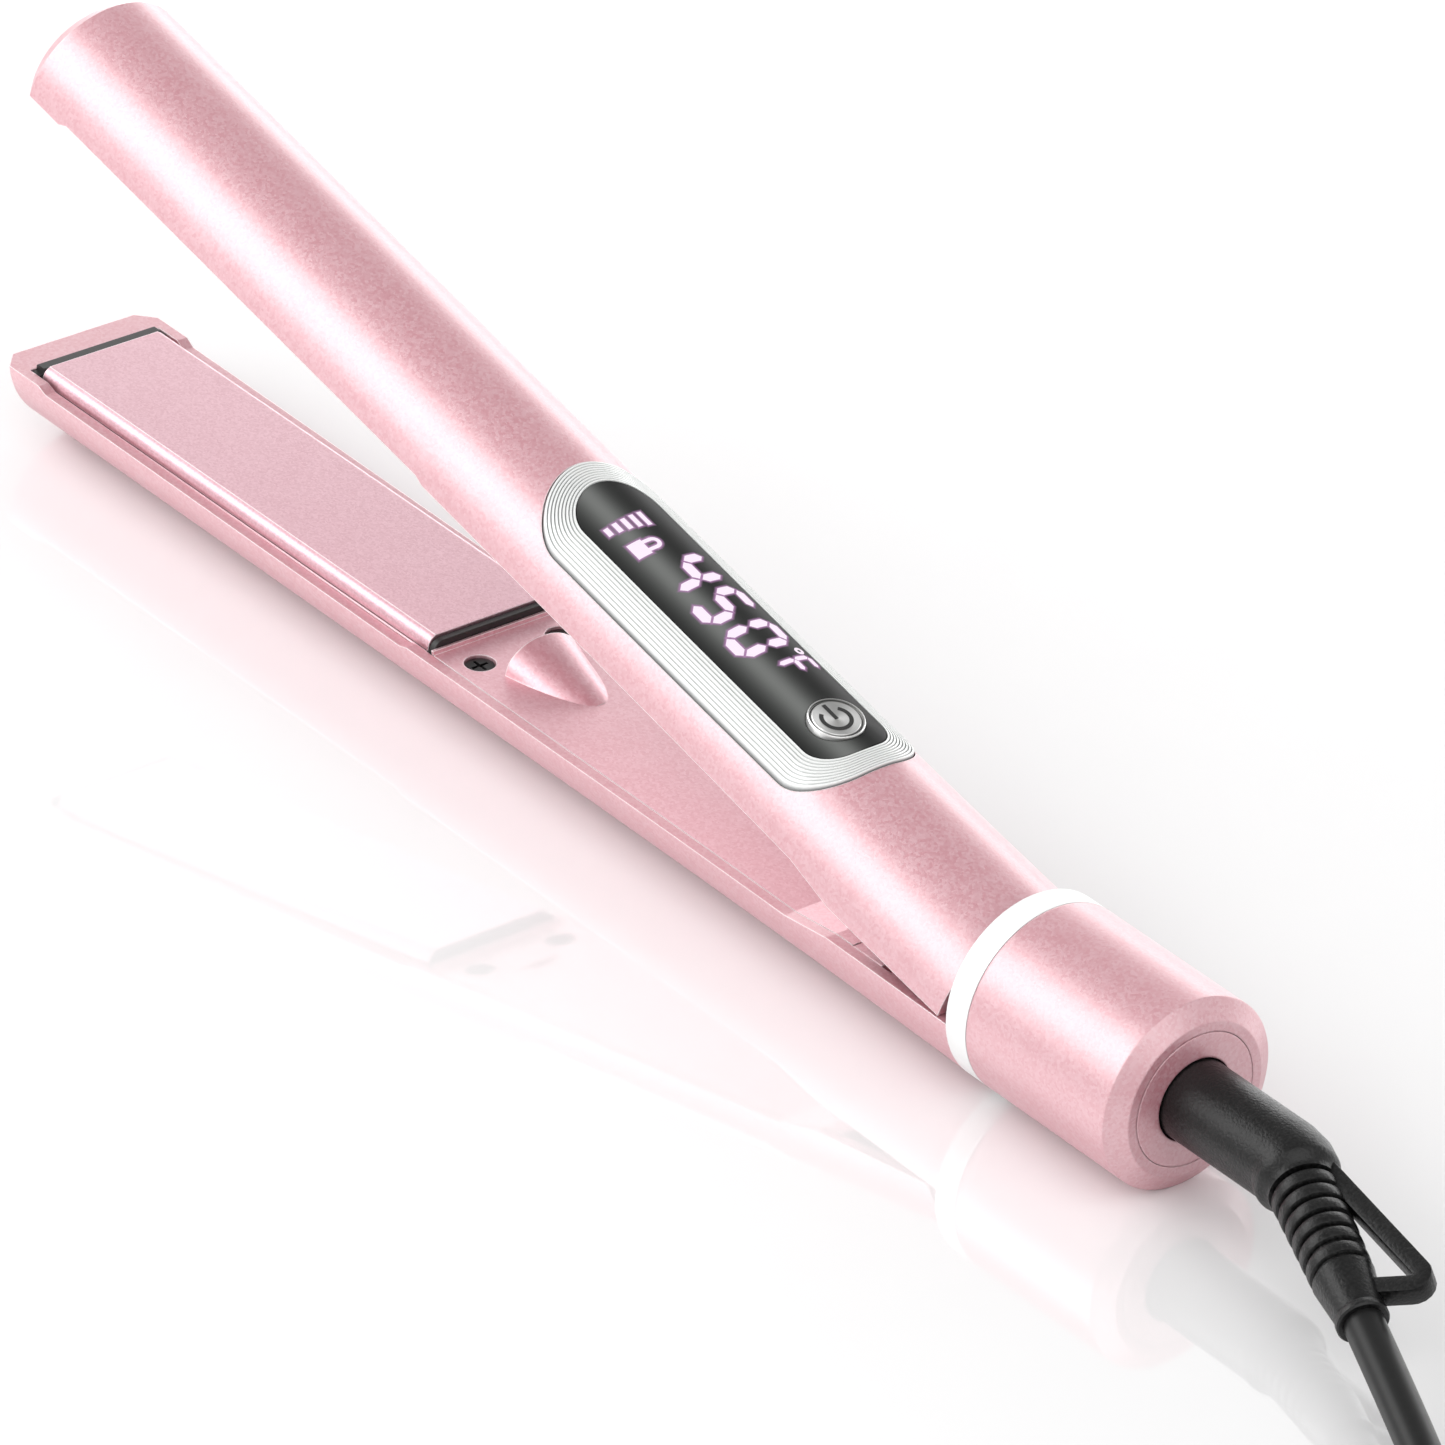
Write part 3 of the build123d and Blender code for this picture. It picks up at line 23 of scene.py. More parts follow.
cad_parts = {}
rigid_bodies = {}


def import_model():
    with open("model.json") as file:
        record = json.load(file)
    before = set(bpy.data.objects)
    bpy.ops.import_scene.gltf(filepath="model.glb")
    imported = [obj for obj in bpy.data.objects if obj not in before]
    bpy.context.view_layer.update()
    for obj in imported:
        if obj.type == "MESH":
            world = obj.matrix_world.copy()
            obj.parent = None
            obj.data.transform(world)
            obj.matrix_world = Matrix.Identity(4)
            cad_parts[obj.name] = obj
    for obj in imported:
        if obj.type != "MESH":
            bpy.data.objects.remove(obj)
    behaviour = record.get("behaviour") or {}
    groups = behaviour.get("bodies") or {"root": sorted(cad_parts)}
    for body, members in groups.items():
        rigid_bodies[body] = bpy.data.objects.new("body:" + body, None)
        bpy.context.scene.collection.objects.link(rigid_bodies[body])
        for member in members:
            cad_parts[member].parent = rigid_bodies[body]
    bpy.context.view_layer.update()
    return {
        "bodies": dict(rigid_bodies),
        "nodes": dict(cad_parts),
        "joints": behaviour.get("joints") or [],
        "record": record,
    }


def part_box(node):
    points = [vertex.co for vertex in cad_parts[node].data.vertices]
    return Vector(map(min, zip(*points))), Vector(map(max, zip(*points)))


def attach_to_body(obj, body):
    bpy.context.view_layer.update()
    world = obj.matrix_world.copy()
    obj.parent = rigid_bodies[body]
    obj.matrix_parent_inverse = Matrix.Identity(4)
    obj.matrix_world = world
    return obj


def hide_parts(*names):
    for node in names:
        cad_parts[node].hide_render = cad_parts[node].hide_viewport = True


LOG = logging.getLogger("hair_straightener")
MM = 0.001
TO_METRES = Matrix.Scale(MM, 4)
FULL_TURN = 2 * math.pi
UPRIGHT = (0.0, 0.0, 1.0)
OPAQUE = 1.0
EDGE_SAMPLES = 6  # rays by which the shader finds an edge
NOISE_MIDDLE = 0.5
SHARP = 40.0  # degrees from which an edge of a piece stays sharp
GROOVE_SHADE = "groove"  # attribute that is 1 in a groove and 0 on a crest
HAZE_FADE = "haze"  # attribute that is 1 at a lit shape and 0 at the end of its haze

Colour = tuple[float, float, float]
Place = tuple[float, float, float]
Point = tuple[float, float]


class Body(Enum):
    """Moving bodies of the frame that new pieces ride on."""

    BASE = "base"
    UPPER_ARM = "upper_arm"
    BUTTON = "power_button"
    SWIVEL = "cord_swivel"


class Slot(Enum):
    """Material slots of the record."""

    ROSE_PAINT = "rose_paint"
    INNER_ROSE = "inner_rose"
    PLATE_COAT = "plate_coat"
    WHITE_TRIM = "white_trim"
    SILVER_TRIM = "silver_trim"
    DARK_LENS = "dark_lens"
    BRUSHED_METAL = "brushed_metal"
    BLACK_PLASTIC = "black_plastic"
    SPRING_STEEL = "spring_steel"
    BLACK_SCREW = "black_screw"
    CERAMIC = "ceramic"
    SILICONE = "silicone"
    BOARD = "board"
    LIGHT_PLASTIC = "light_plastic"
    WIRE_JACKET = "wire_jacket"
    CONTACT_METAL = "contact_metal"
    BLACK_RUBBER = "black_rubber"


class Wire:
    """A shader socket that takes part in Python arithmetic: each operator adds one Math node."""

    def __init__(self, graph: Graph, socket: bpy.types.NodeSocket | None) -> None:
        """Keep the node tree and the socket."""
        self.graph = graph
        self.socket = socket

    def _math(self, operation: str, first: Wire | float, second: Wire | float) -> Wire:
        """Add a Math node on two values."""
        return self.graph.node("ShaderNodeMath", {"operation": operation}, {0: first, 1: second})

    def __add__(self, other: Wire | float) -> Wire:
        """Sum."""
        return self._math("ADD", self, other)

    def __radd__(self, other: float) -> Wire:
        """Sum with a number first."""
        return self._math("ADD", other, self)

    def __sub__(self, other: Wire | float) -> Wire:
        """Difference."""
        return self._math("SUBTRACT", self, other)

    def __rsub__(self, other: float) -> Wire:
        """Difference with a number first."""
        return self._math("SUBTRACT", other, self)

    def __mul__(self, other: Wire | float) -> Wire:
        """Product."""
        return self._math("MULTIPLY", self, other)

    def __rmul__(self, other: float) -> Wire:
        """Product with a number first."""
        return self._math("MULTIPLY", other, self)

    def __pow__(self, other: Wire | float) -> Wire:
        """Power."""
        return self._math("POWER", self, other)

    def cosine(self) -> Wire:
        """Cosine of an angle in radians."""
        return self._math("COSINE", self, 0.0)

    def bearing(self, other: Wire) -> Wire:
        """Angle of the point whose sine side is this value and whose cosine side is the other."""
        return self._math("ARCTAN2", self, other)

    def band(self, middle: float, spread: float, steepness: float) -> Wire:
        """Value that is 1 on a line across this coordinate and falls off to both sides.

        Args:
            middle: Where the line runs, in millimetres.
            spread: How far the value reaches to each side, in millimetres.
            steepness: How fast it falls off.

        Returns:
            The value.
        """
        offset = self * (1 / (spread * MM)) - middle / spread
        return (offset * offset + 1.0) ** -steepness


class Graph:
    """The node tree of one material."""

    def __init__(self, tree: bpy.types.NodeTree) -> None:
        """Start from an empty tree."""
        self.tree = tree
        tree.nodes.clear()

    def node(
        self,
        kind: str,
        settings: Mapping[str, Any] | None = None,
        sockets: Mapping[str | int, Any] | None = None,
        output: str | int = 0,
    ) -> Wire:
        """Add a node.

        Args:
            kind: Type of the node.
            settings: Its properties, set first; "stops" are a ramp's (position, colour) pairs.
            sockets: Values or wires of its inputs.
            output: The output that is returned.

        Returns:
            The chosen output.
        """
        made = self.tree.nodes.new(kind)
        for key, value in (settings or {}).items():
            if key == "stops":
                self._set_stops(made.color_ramp, value)
            else:
                setattr(made, key, value)
        for key, value in (sockets or {}).items():
            socket = made.inputs[key]
            if isinstance(value, Wire):
                self.tree.links.new(value.socket, socket)
            else:
                socket.default_value = (*value, OPAQUE) if socket.type == "RGBA" else value
        return Wire(self, made.outputs[output] if made.outputs else None)

    @staticmethod
    def _set_stops(ramp: bpy.types.ColorRamp, stops: Iterable[tuple[float, Colour]]) -> None:
        """Give a ramp its two stops.

        Args:
            ramp: The ramp of a node.
            stops: Position and colour of each.
        """
        for element, (position, colour) in zip(ramp.elements, stops):
            element.position = position
            element.color = (*colour, OPAQUE)

    def place(self) -> Wire:
        """Object coordinates."""
        return self.node("ShaderNodeTexCoord", output="Object")

    def axis(self, place: Wire, name: str) -> Wire:
        """One coordinate of a place."""
        return self.node("ShaderNodeSeparateXYZ", sockets={0: place}, output=name)

    def attribute(self, name: str) -> Wire:
        """Value of one of the piece's own attributes."""
        return self.node("ShaderNodeAttribute", {"attribute_name": name}, output="Fac")

    def noise(self, place: Wire, size: float, detail: float = 2.0) -> Wire:
        """Cloudy noise from 0 to 1 whose blobs are about a size across, in millimetres."""
        return self.node(
            "ShaderNodeTexNoise", sockets={"Vector": place, "Scale": 1 / (size * MM), "Detail": detail}
        )

    def flakes(self, place: Wire, size: float) -> Wire:
        """A value for each cell of a fine random mosaic."""
        cells = self.node(
            "ShaderNodeTexVoronoi", sockets={"Vector": place, "Scale": 1 / (size * MM)}, output="Color"
        )
        return self.node("ShaderNodeSeparateColor", sockets={0: cells})

    def blend(self, share: Wire, first: Colour | Wire, second: Colour | Wire) -> Wire:
        """Mix two colours by a value from 0 to 1."""
        return self.node(
            "ShaderNodeMix", {"data_type": "RGBA"}, {"Factor": share, 6: first, 7: second}, output=2
        )

    def rounding(self, radius: float) -> Wire:
        """Normal that rounds the edges by a radius in millimetres."""
        return self.node("ShaderNodeBevel", {"samples": EDGE_SAMPLES}, {"Radius": radius * MM})

    def painted_edge_highlight(self, rounded: Wire, strength: float) -> Wire:
        """Mask of a painted edge highlight: 1 on a rounded edge and 0 away from it.

        Args:
            rounded: Normal that rounds the edges.
            strength: How fast the value grows with the rounding.

        Returns:
            The value.
        """
        plain = self.node("ShaderNodeNewGeometry", output="Normal")
        level = self.node(
            "ShaderNodeVectorMath", {"operation": "DOT_PRODUCT"}, {0: rounded, 1: plain}, output="Value"
        )
        clamped = {"operation": "MULTIPLY", "use_clamp": True}
        return self.node("ShaderNodeMath", clamped, {0: 1.0 - level, 1: strength})

    def bump(self, height: Wire, depth: float, base: Wire | None = None) -> Wire:
        """Normal of a relief.

        Args:
            height: The relief, from 0 to 1.
            depth: Its depth, in millimetres.
            base: Normal that it lies on, if not the surface's own.

        Returns:
            The normal.
        """
        sockets: dict[str | int, Any] = {"Height": height, "Distance": depth * MM}
        if base is not None:
            sockets["Normal"] = base
        return self.node("ShaderNodeBump", sockets=sockets)

    def shader(self, sockets: Mapping[str | int, Any]) -> Wire:
        """The surface's shader, with the values or wires of its inputs."""
        return self.node("ShaderNodeBsdfPrincipled", sockets=sockets)


@dataclass(frozen=True)
class Finish(ABC):
    """A surface finish, made once as a material.

    Attributes:
        name: Name of the material.
    """

    name: str

    @abstractmethod
    def surface(self, graph: Graph) -> Wire:
        """Build the finish's shader.

        Args:
            graph: The material's empty node tree.

        Returns:
            The shader.
        """

    def material(self) -> bpy.types.Material:
        """Make the finish's material on first use.

        Returns:
            The material.
        """
        known = bpy.data.materials.get(self.name)
        if known is not None:
            return known
        made = bpy.data.materials.new(self.name)
        made.use_nodes = True
        graph = Graph(made.node_tree)
        graph.node("ShaderNodeOutputMaterial", sockets={"Surface": self.surface(graph)})
        return made


@dataclass(frozen=True)
class PearlPaint(Finish):
    """Metallic paint with fine pearl flake under a soft clear coat, and a painted highlight on its rounded
    edges.

    Attributes:
        edge: Radius of the rounded edges.
        edge_highlight_strength: How fast the painted highlight pales the paint on them, 0 where none is
            painted.
    """

    colour: Colour
    flake_colour: Colour
    flake_size: float = 0.42
    flake_share: float = 0.5
    flake_relief: float = 0.012
    cloud_size: float = 9.0
    cloud_share: float = 0.12
    metallic: float = 0.2
    roughness: float = 0.42
    gloss_spread: float = 0.08
    ior: float = 3.4
    coat: float = 0.3
    coat_roughness: float = 0.3
    edge: float = 0.3
    # near-white of the painted edge highlight
    edge_highlight_colour: Colour = (0.97, 0.95, 0.95)
    edge_highlight_strength: float = 4.0

    def surface(self, graph: Graph) -> Wire:
        """Flake tints the colour, roughens the gloss and tilts the surface a little; a painted highlight
        pales the rounded edges.

        Args:
            graph: The material's empty node tree.

        Returns:
            The shader.
        """
        place = graph.place()
        flake = graph.flakes(place, self.flake_size)
        cloud = graph.noise(place, self.cloud_size)
        share = flake * self.flake_share + cloud * self.cloud_share
        rounded = graph.rounding(self.edge)
        paint = graph.blend(share, self.colour, self.flake_colour)
        metallic: Wire | float = self.metallic
        # painted highlight: the rounded edges pale to near-white and lose their metal
        if self.edge_highlight_strength:
            painted_highlight_mask = graph.painted_edge_highlight(rounded, self.edge_highlight_strength)
            paint = graph.blend(painted_highlight_mask, paint, self.edge_highlight_colour)
            metallic = self.metallic - painted_highlight_mask * self.metallic
        return graph.shader(
            {
                "Base Color": paint,
                "Metallic": metallic,
                "Roughness": flake * self.gloss_spread + (self.roughness - self.gloss_spread / 2),
                "Coat Weight": self.coat,
                "IOR": self.ior,
                "Coat Roughness": self.coat_roughness,
                "Normal": graph.bump(flake, self.flake_relief, rounded),
            }
        )


@dataclass(frozen=True)
class Moulding(Finish):
    """Plastic, rubber, ceramic or plain metal with a fine grain."""

    colour: Colour
    tint: Colour
    tint_share: float = 0.3
    grain: float = 0.5
    grain_detail: float = 3.0
    relief: float = 0.004
    cloud_size: float = 14.0
    cloud_share: float = 0.4
    metallic: float = 0.0
    roughness: float = 0.4
    spread: float = 0.1
    speckle: float = 0.6
    specular: float = 0.5
    ior: float = 1.5
    edge: float = 0.0

    def surface(self, graph: Graph) -> Wire:
        """Grain shades the colour, the roughness and the relief alike.

        Args:
            graph: The material's empty node tree.

        Returns:
            The shader.
        """
        place = graph.place()
        rounded = graph.rounding(self.edge) if self.edge else None
        grain = graph.noise(place, self.grain, self.grain_detail)
        cloud = graph.noise(place, self.cloud_size)
        share = (grain - NOISE_MIDDLE) * self.speckle + cloud * self.cloud_share + self.tint_share
        return graph.shader(
            {
                "Base Color": graph.blend(share, self.colour, self.tint),
                "Metallic": self.metallic,
                "Roughness": grain * self.spread + (self.roughness - self.spread / 2),
                "Specular IOR Level": self.specular,
                "IOR": self.ior,
                "Normal": graph.bump(grain, self.relief, rounded),
            }
        )


@dataclass(frozen=True)
class RibbedPlating(Finish):
    """Silver-white plating whose grooves hold shade, read from the piece's own attribute."""

    light: Colour = (0.72, 0.73, 0.72)
    shade: Colour = (0.30, 0.31, 0.31)
    shade_power: float = 1.4
    cloud_size: float = 4.0
    metallic: float = 0.15
    roughness: float = 0.3
    gloss_spread: float = 0.08

    def surface(self, graph: Graph) -> Wire:
        """Shade lies in the grooves, and a cloudy gloss over all.

        Args:
            graph: The material's empty node tree.

        Returns:
            The shader.
        """
        depth = graph.attribute(GROOVE_SHADE)
        cloud = graph.noise(graph.place(), self.cloud_size)
        return graph.shader(
            {
                "Base Color": graph.blend(depth**self.shade_power, self.light, self.shade),
                "Metallic": self.metallic,
                "Roughness": cloud * self.gloss_spread + self.roughness,
            }
        )


@dataclass(frozen=True)
class SmokedLens(Finish):
    """Dark lens with a painted reflection that makes it lighter along its middle, and a faint sheen.

    Attributes:
        middle: Where the painted reflection is brightest, across the barrel, in millimetres.
        spread: How far the painted reflection reaches to each side.
    """

    colour: Colour = (0.003, 0.003, 0.003)
    # colour of the painted reflection band
    tint: Colour = (0.15, 0.155, 0.15)
    middle: float = -2.9
    spread: float = 4.2
    steepness: float = 3.0
    painted_reflection_share: float = 0.9
    cloud_size: float = 6.0
    cloud_share: float = 0.02
    roughness: float = 0.36
    gloss_spread: float = 0.04
    specular: float = 0.06
    edge: float = 0.25

    def surface(self, graph: Graph) -> Wire:
        """Black with a painted reflection that lightens it along the middle, and whose gloss varies
        slightly.

        Args:
            graph: The material's empty node tree.

        Returns:
            The shader.
        """
        place = graph.place()
        cloud = graph.noise(place, self.cloud_size)
        # painted reflection: a lighter band along the lens, in its base colour
        painted_reflection_band = graph.axis(place, "Y").band(self.middle, self.spread, self.steepness)
        share = painted_reflection_band * self.painted_reflection_share + cloud * self.cloud_share
        return graph.shader(
            {
                "Base Color": graph.blend(share, self.colour, self.tint),
                "Roughness": cloud * self.gloss_spread + self.roughness,
                "Specular IOR Level": self.specular,
                "Normal": graph.rounding(self.edge),
            }
        )


@dataclass(frozen=True)
class BrushedDisc(Finish):
    """Metal turned on a lathe: fine rings, and light and dark sectors.

    Attributes:
        centre: Middle of the disc, in millimetres.
        tilt: Turn of the disc's axis about Y, in radians.
        groove: Radius of the groove round the disc, darkened as painted shade, in millimetres.
        groove_width: Its width.
        ring: Width of the fine rings.
        ring_drift: How far a ring drifts in one radian.
        sectors: Painted highlight sectors round the disc.
        sector_turn: How far they are turned, in radians.
    """

    centre: Place
    tilt: float
    groove: float = 4.1
    groove_width: float = 0.3
    groove_steepness: float = 4.0
    light: Colour = (1.0, 1.0, 0.99)
    dark: Colour = (0.44, 0.44, 0.43)
    # colour of the painted shade in the groove
    black: Colour = (0.01, 0.01, 0.01)
    ring: float = 0.16
    ring_drift: float = 0.3
    ring_detail: float = 1.0
    ring_share: float = 0.25
    ring_relief: float = 0.006
    # painted highlight: light and dark sectors round the disc
    sectors: float = 2.0
    sector_turn: float = 0.9
    sector_depth: float = 0.42
    sector_share: float = 0.32
    roughness: float = 0.25
    gloss_spread: float = 0.15

    def surface(self, graph: Graph) -> Wire:
        """Rings run round the centre, painted highlight sectors follow the angle about it, and painted shade
        darkens the groove.

        Args:
            graph: The material's empty node tree.

        Returns:
            The shader.
        """
        centred = graph.node(
            "ShaderNodeMapping",
            {"vector_type": "TEXTURE"},
            {
                "Vector": graph.place(),
                "Location": [value * MM for value in self.centre],
                "Rotation": (0.0, self.tilt, 0.0),
            },
        )
        bearing = graph.axis(centred, "Y").bearing(graph.axis(centred, "X"))
        radius = graph.node("ShaderNodeVectorMath", {"operation": "LENGTH"}, {0: centred}, output="Value")
        turned = graph.node("ShaderNodeCombineXYZ", sockets={0: radius, 1: bearing * (self.ring_drift * MM)})
        rings = graph.noise(turned, self.ring, self.ring_detail)
        # painted highlight: sectors by the angle about the centre stand for the turned metal's reflections
        sheen = (bearing * self.sectors + self.sector_turn).cosine() * self.sector_depth + self.sector_share
        # painted shade: the groove between rim and disc is darkened to a very dark grey
        painted_groove_shade = radius.band(self.groove, self.groove_width, self.groove_steepness)
        metal = graph.blend(sheen + rings * self.ring_share, self.light, self.dark)
        return graph.shader(
            {
                "Base Color": graph.blend(painted_groove_shade, metal, self.black),
                "Metallic": 1.0,
                "Roughness": rings * self.gloss_spread + self.roughness,
                "Normal": graph.bump(rings, self.ring_relief),
            }
        )


@dataclass(frozen=True)
class Glow(Finish):
    """Lit segments, or the haze round them where a fading attribute is named."""

    colour: Colour
    strength: float = 1.0
    fade: str = ""
    fade_power: float = 1.5
    cloud_size: float = 0.8
    cloud_share: float = 0.3

    def surface(self, graph: Graph) -> Wire:
        """Emission, thinned out by the fading attribute.

        Args:
            graph: The material's empty node tree.

        Returns:
            The shader.
        """
        cloud = graph.noise(graph.place(), self.cloud_size)
        sockets: dict[str | int, Any] = {
            "Base Color": grey(0.0),
            "Specular IOR Level": 0.0,
            "Emission Strength": self.strength,
            "Emission Color": graph.blend(cloud * self.cloud_share, self.colour, grey(1.0)),
        }
        if self.fade:
            sockets["Alpha"] = graph.attribute(self.fade) ** self.fade_power
        return graph.shader(sockets)


def grey(level: float) -> Colour:
    """Neutral colour of a level."""
    return (level, level, level)


ROSE = PearlPaint("pearl_rose_paint", (0.50, 0.155, 0.197), (0.64, 0.39, 0.43))
# the same paint with softer rounded edges and no painted edge highlight
SOFT_ROSE = replace(ROSE, name="soft_edged_rose_paint", edge=0.5, edge_highlight_strength=0.0)
SOFT_EDGED_NODES = ("temperature_dial", "end_disc")
FINISHES: dict[Slot, Finish] = {
    Slot.ROSE_PAINT: ROSE,
    Slot.INNER_ROSE: PearlPaint(
        "satin_rose_paint", (0.69, 0.39, 0.435), (0.85, 0.63, 0.67), metallic=0.7, roughness=0.46, ior=1.8
    ),
    Slot.PLATE_COAT: PearlPaint(
        "rose_plate_coat", (0.60, 0.345, 0.395), (0.78, 0.55, 0.60),
        flake_size=0.34, metallic=0.8, roughness=0.38, ior=1.6,
    ),
    Slot.WHITE_TRIM: Moulding(
        "white_satin_plastic", (0.72, 0.73, 0.73), (0.80, 0.81, 0.80), grain=0.3, relief=0.002, edge=0.15
    ),
    Slot.SILVER_TRIM: RibbedPlating("silver_white_plating"),
    Slot.DARK_LENS: SmokedLens("smoked_lens"),
    Slot.BLACK_PLASTIC: Moulding(
        "black_heat_plastic", (0.012, 0.011, 0.011), (0.026, 0.025, 0.025), specular=0.35, edge=0.2
    ),
    Slot.SPRING_STEEL: Moulding(
        "spring_steel", (0.48, 0.48, 0.49), grey(0.62), metallic=1.0, roughness=0.32
    ),
    Slot.BLACK_SCREW: Moulding(
        "blackened_screw", grey(0.003), grey(0.008), roughness=0.3, specular=0.28, edge=0.1
    ),
    Slot.CERAMIC: Moulding(
        "heater_ceramic", (0.78, 0.76, 0.72), (0.88, 0.87, 0.84), grain=0.35, roughness=0.6
    ),
    Slot.SILICONE: Moulding(
        "soft_silicone", (0.55, 0.16, 0.12), (0.66, 0.22, 0.17), roughness=0.55, specular=0.35
    ),
    Slot.BOARD: Moulding(
        "circuit_board", (0.02, 0.14, 0.06), (0.05, 0.26, 0.11), grain=1.2, roughness=0.38
    ),
    Slot.LIGHT_PLASTIC: Moulding(
        "light_grey_plastic", (0.60, 0.61, 0.60), (0.70, 0.71, 0.70), roughness=0.45
    ),
    Slot.WIRE_JACKET: Moulding(
        "wire_jacket", (0.70, 0.68, 0.62), (0.80, 0.78, 0.72), grain=0.8, roughness=0.5
    ),
    Slot.CONTACT_METAL: Moulding(
        "contact_brass", (0.72, 0.55, 0.26), (0.82, 0.66, 0.36), metallic=1.0, roughness=0.3
    ),
    Slot.BLACK_RUBBER: Moulding(
        "spark_grained_rubber", grey(0.0005), grey(0.006),
        relief=0.1, roughness=0.37, spread=0.3, speckle=3.2, specular=0.34,
    ),
}
CORD_JACKET = Moulding(
    "smooth_cord_jacket", grey(0.005), grey(0.011), grain=0.9, roughness=0.42, specular=0.28
)
SYMBOL_INK = Moulding("symbol_ink", grey(0.010), grey(0.020), grain=0.2, roughness=0.35)
FLOOR = Moulding(
    "pale_studio_floor", (0.85, 0.845, 0.85), grey(0.87),
    grain=40.0, relief=0.0, roughness=0.04, spread=0.01, ior=2.6,
)
READOUT = Glow("lit_segments", (1.0, 0.86, 1.0))
HAZE = Glow("violet_haze", (0.60, 0.26, 0.60), 0.8, HAZE_FADE)


def new_piece(mesh: bpy.types.Mesh, finish: Finish, sharp: float = SHARP) -> bpy.types.Object:
    """Make a smooth-shaded object at the origin, named as its mesh.

    Args:
        mesh: Its mesh, in place.
        finish: Finish of the whole piece.
        sharp: Angle in degrees from which an edge stays sharp.

    Returns:
        The new object.
    """
    mesh.shade_smooth()
    mesh.set_sharp_from_angle(angle=math.radians(sharp))
    mesh.materials.clear()
    mesh.materials.append(finish.material())
    piece = bpy.data.objects.new(mesh.name, mesh)
    bpy.context.scene.collection.objects.link(piece)
    return piece


def to_mesh(bm: BMesh, name: str, matrix: Matrix = TO_METRES) -> bpy.types.Mesh:
    """Write a bmesh to a new mesh and free it.

    Args:
        bm: The shape.
        name: Name of the mesh.
        matrix: Moves the shape to its place, in metres.

    Returns:
        The mesh.
    """
    bmesh.ops.transform(bm, matrix=matrix, verts=bm.verts)
    mesh = bpy.data.meshes.new(name)
    bm.to_mesh(mesh)
    bm.free()
    return mesh


def attach(piece: bpy.types.Object, body: Body, slot: Slot, *nodes: str) -> bpy.types.Object:
    """Let a piece ride on a body.

    Args:
        piece: The piece.
        body: The body that carries it.
        slot: Its material slot; not used.
        nodes: The nodes that it stands for.

    Returns:
        The piece.
    """
    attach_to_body(piece, body.value)
    if nodes:
        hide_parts(*nodes)
    LOG.info("%s rides on %s", piece.name, body.value)
    return piece


def between(first: float, last: float, share: float) -> float:
    """Number at a share of the way from one to another."""
    return first + (last - first) * share


def eased(share: float) -> float:
    """Share of a way that starts and ends gently."""
    return share * share * (3 - 2 * share)


def flat(points: Iterable[Point]) -> list[Place]:
    """Plan points at height 0."""
    return [(x, y, 0.0) for x, y in points]


def arc(centre: Point, radius: float, start: float, end: float, steps: int) -> list[Point]:
    """Points of a round stretch.

    Args:
        centre: Middle of the circle.
        radius: Its radius.
        start: First angle, in radians.
        end: Last angle, in radians.
        steps: Number of points less one.

    Returns:
        The points, both ends among them.
    """
    angles = [between(start, end, i / steps) for i in range(steps + 1)]
    return [(centre[0] + radius * math.cos(a), centre[1] + radius * math.sin(a)) for a in angles]


def closed_loop(bm: BMesh, places: Iterable[Sequence[float]]) -> list[BMEdge]:
    """Add a closed loop of edges through places."""
    corners = [bm.verts.new(place) for place in places]
    return [bm.edges.new(pair) for pair in zip(corners, corners[1:] + corners[:1])]


def corners_of(parts: Iterable[Any]) -> list[BMVert]:
    """The corners among the parts that an operator made."""
    return [part for part in parts if isinstance(part, BMVert)]


def spin(bm: BMesh, geom: Sequence[Any], centre: Sequence[float], angle: float, steps: int) -> None:
    """Turn a section about an upright axis, and close it where the turn is full."""
    merge = angle == FULL_TURN
    bmesh.ops.spin(bm, geom=geom, cent=centre, axis=UPRIGHT, angle=angle, steps=steps, use_merge=merge)


def sweep(bm: BMesh, section: Sequence[Point], stations: Sequence[Matrix]) -> None:
    """Carry a closed section along a line.

    Args:
        bm: The bmesh that gets the solid.
        section: The section's corners, across the line and upright.
        stations: Where the section stands, one after the other.
    """
    edges = closed_loop(bm, [stations[0] @ Vector((0.0, across, up)) for across, up in section])
    bmesh.ops.contextual_create(bm, geom=edges)
    for before, after in zip(stations, stations[1:]):
        made = bmesh.ops.extrude_edge_only(bm, edges=edges)["geom"]
        corners = corners_of(made)
        ring = set(corners)
        edges = [part for part in made if isinstance(part, BMEdge) and ring.issuperset(part.verts)]
        bmesh.ops.transform(bm, matrix=after @ before.inverted(), verts=corners)
    bmesh.ops.contextual_create(bm, geom=edges)


@dataclass(frozen=True)
class PhotoCamera:
    """Camera at the photograph's viewing angle.

    Attributes:
        place: Where it stands.
        azimuth: Bearing about the upright axis, 0 looking along +Y.
        elevation: Height above the horizon.
        roll: Turn about the line of sight.
        focal_pixels: Focal length in the photograph's pixels.
        frame_pixels: Width of the photograph in pixels.
        sensor: Width of the camera's sensor.
        clip: Nearest and furthest distance that it sees, in metres.
    """

    place: Place = (1095.9, -875.6, 838.7)
    azimuth: float = 50.59
    elevation: float = 30.54
    roll: float = 2.616
    focal_pixels: float = 10369.7
    frame_pixels: float = 1445.0
    sensor: float = 36.0
    clip: Point = (0.05, 20.0)

    def build(self) -> None:
        """Create the camera and make it the scene's."""
        azimuth, elevation, roll = (math.radians(a) for a in (self.azimuth, self.elevation, self.roll))
        turn = (
            Matrix.Rotation(azimuth, 4, "Z")
            @ Matrix.Rotation(math.pi / 2 - elevation, 4, "X")
            @ Matrix.Rotation(roll, 4, "Z")
        )
        data = bpy.data.cameras.new("photo_camera")
        data.sensor_width = self.sensor
        data.lens = self.focal_pixels / self.frame_pixels * self.sensor
        data.clip_start, data.clip_end = self.clip
        camera = bpy.data.objects.new("photo_camera", data)
        camera.matrix_world = Matrix.Translation(Vector(self.place) * MM) @ turn
        bpy.context.scene.collection.objects.link(camera)
        bpy.context.scene.camera = camera


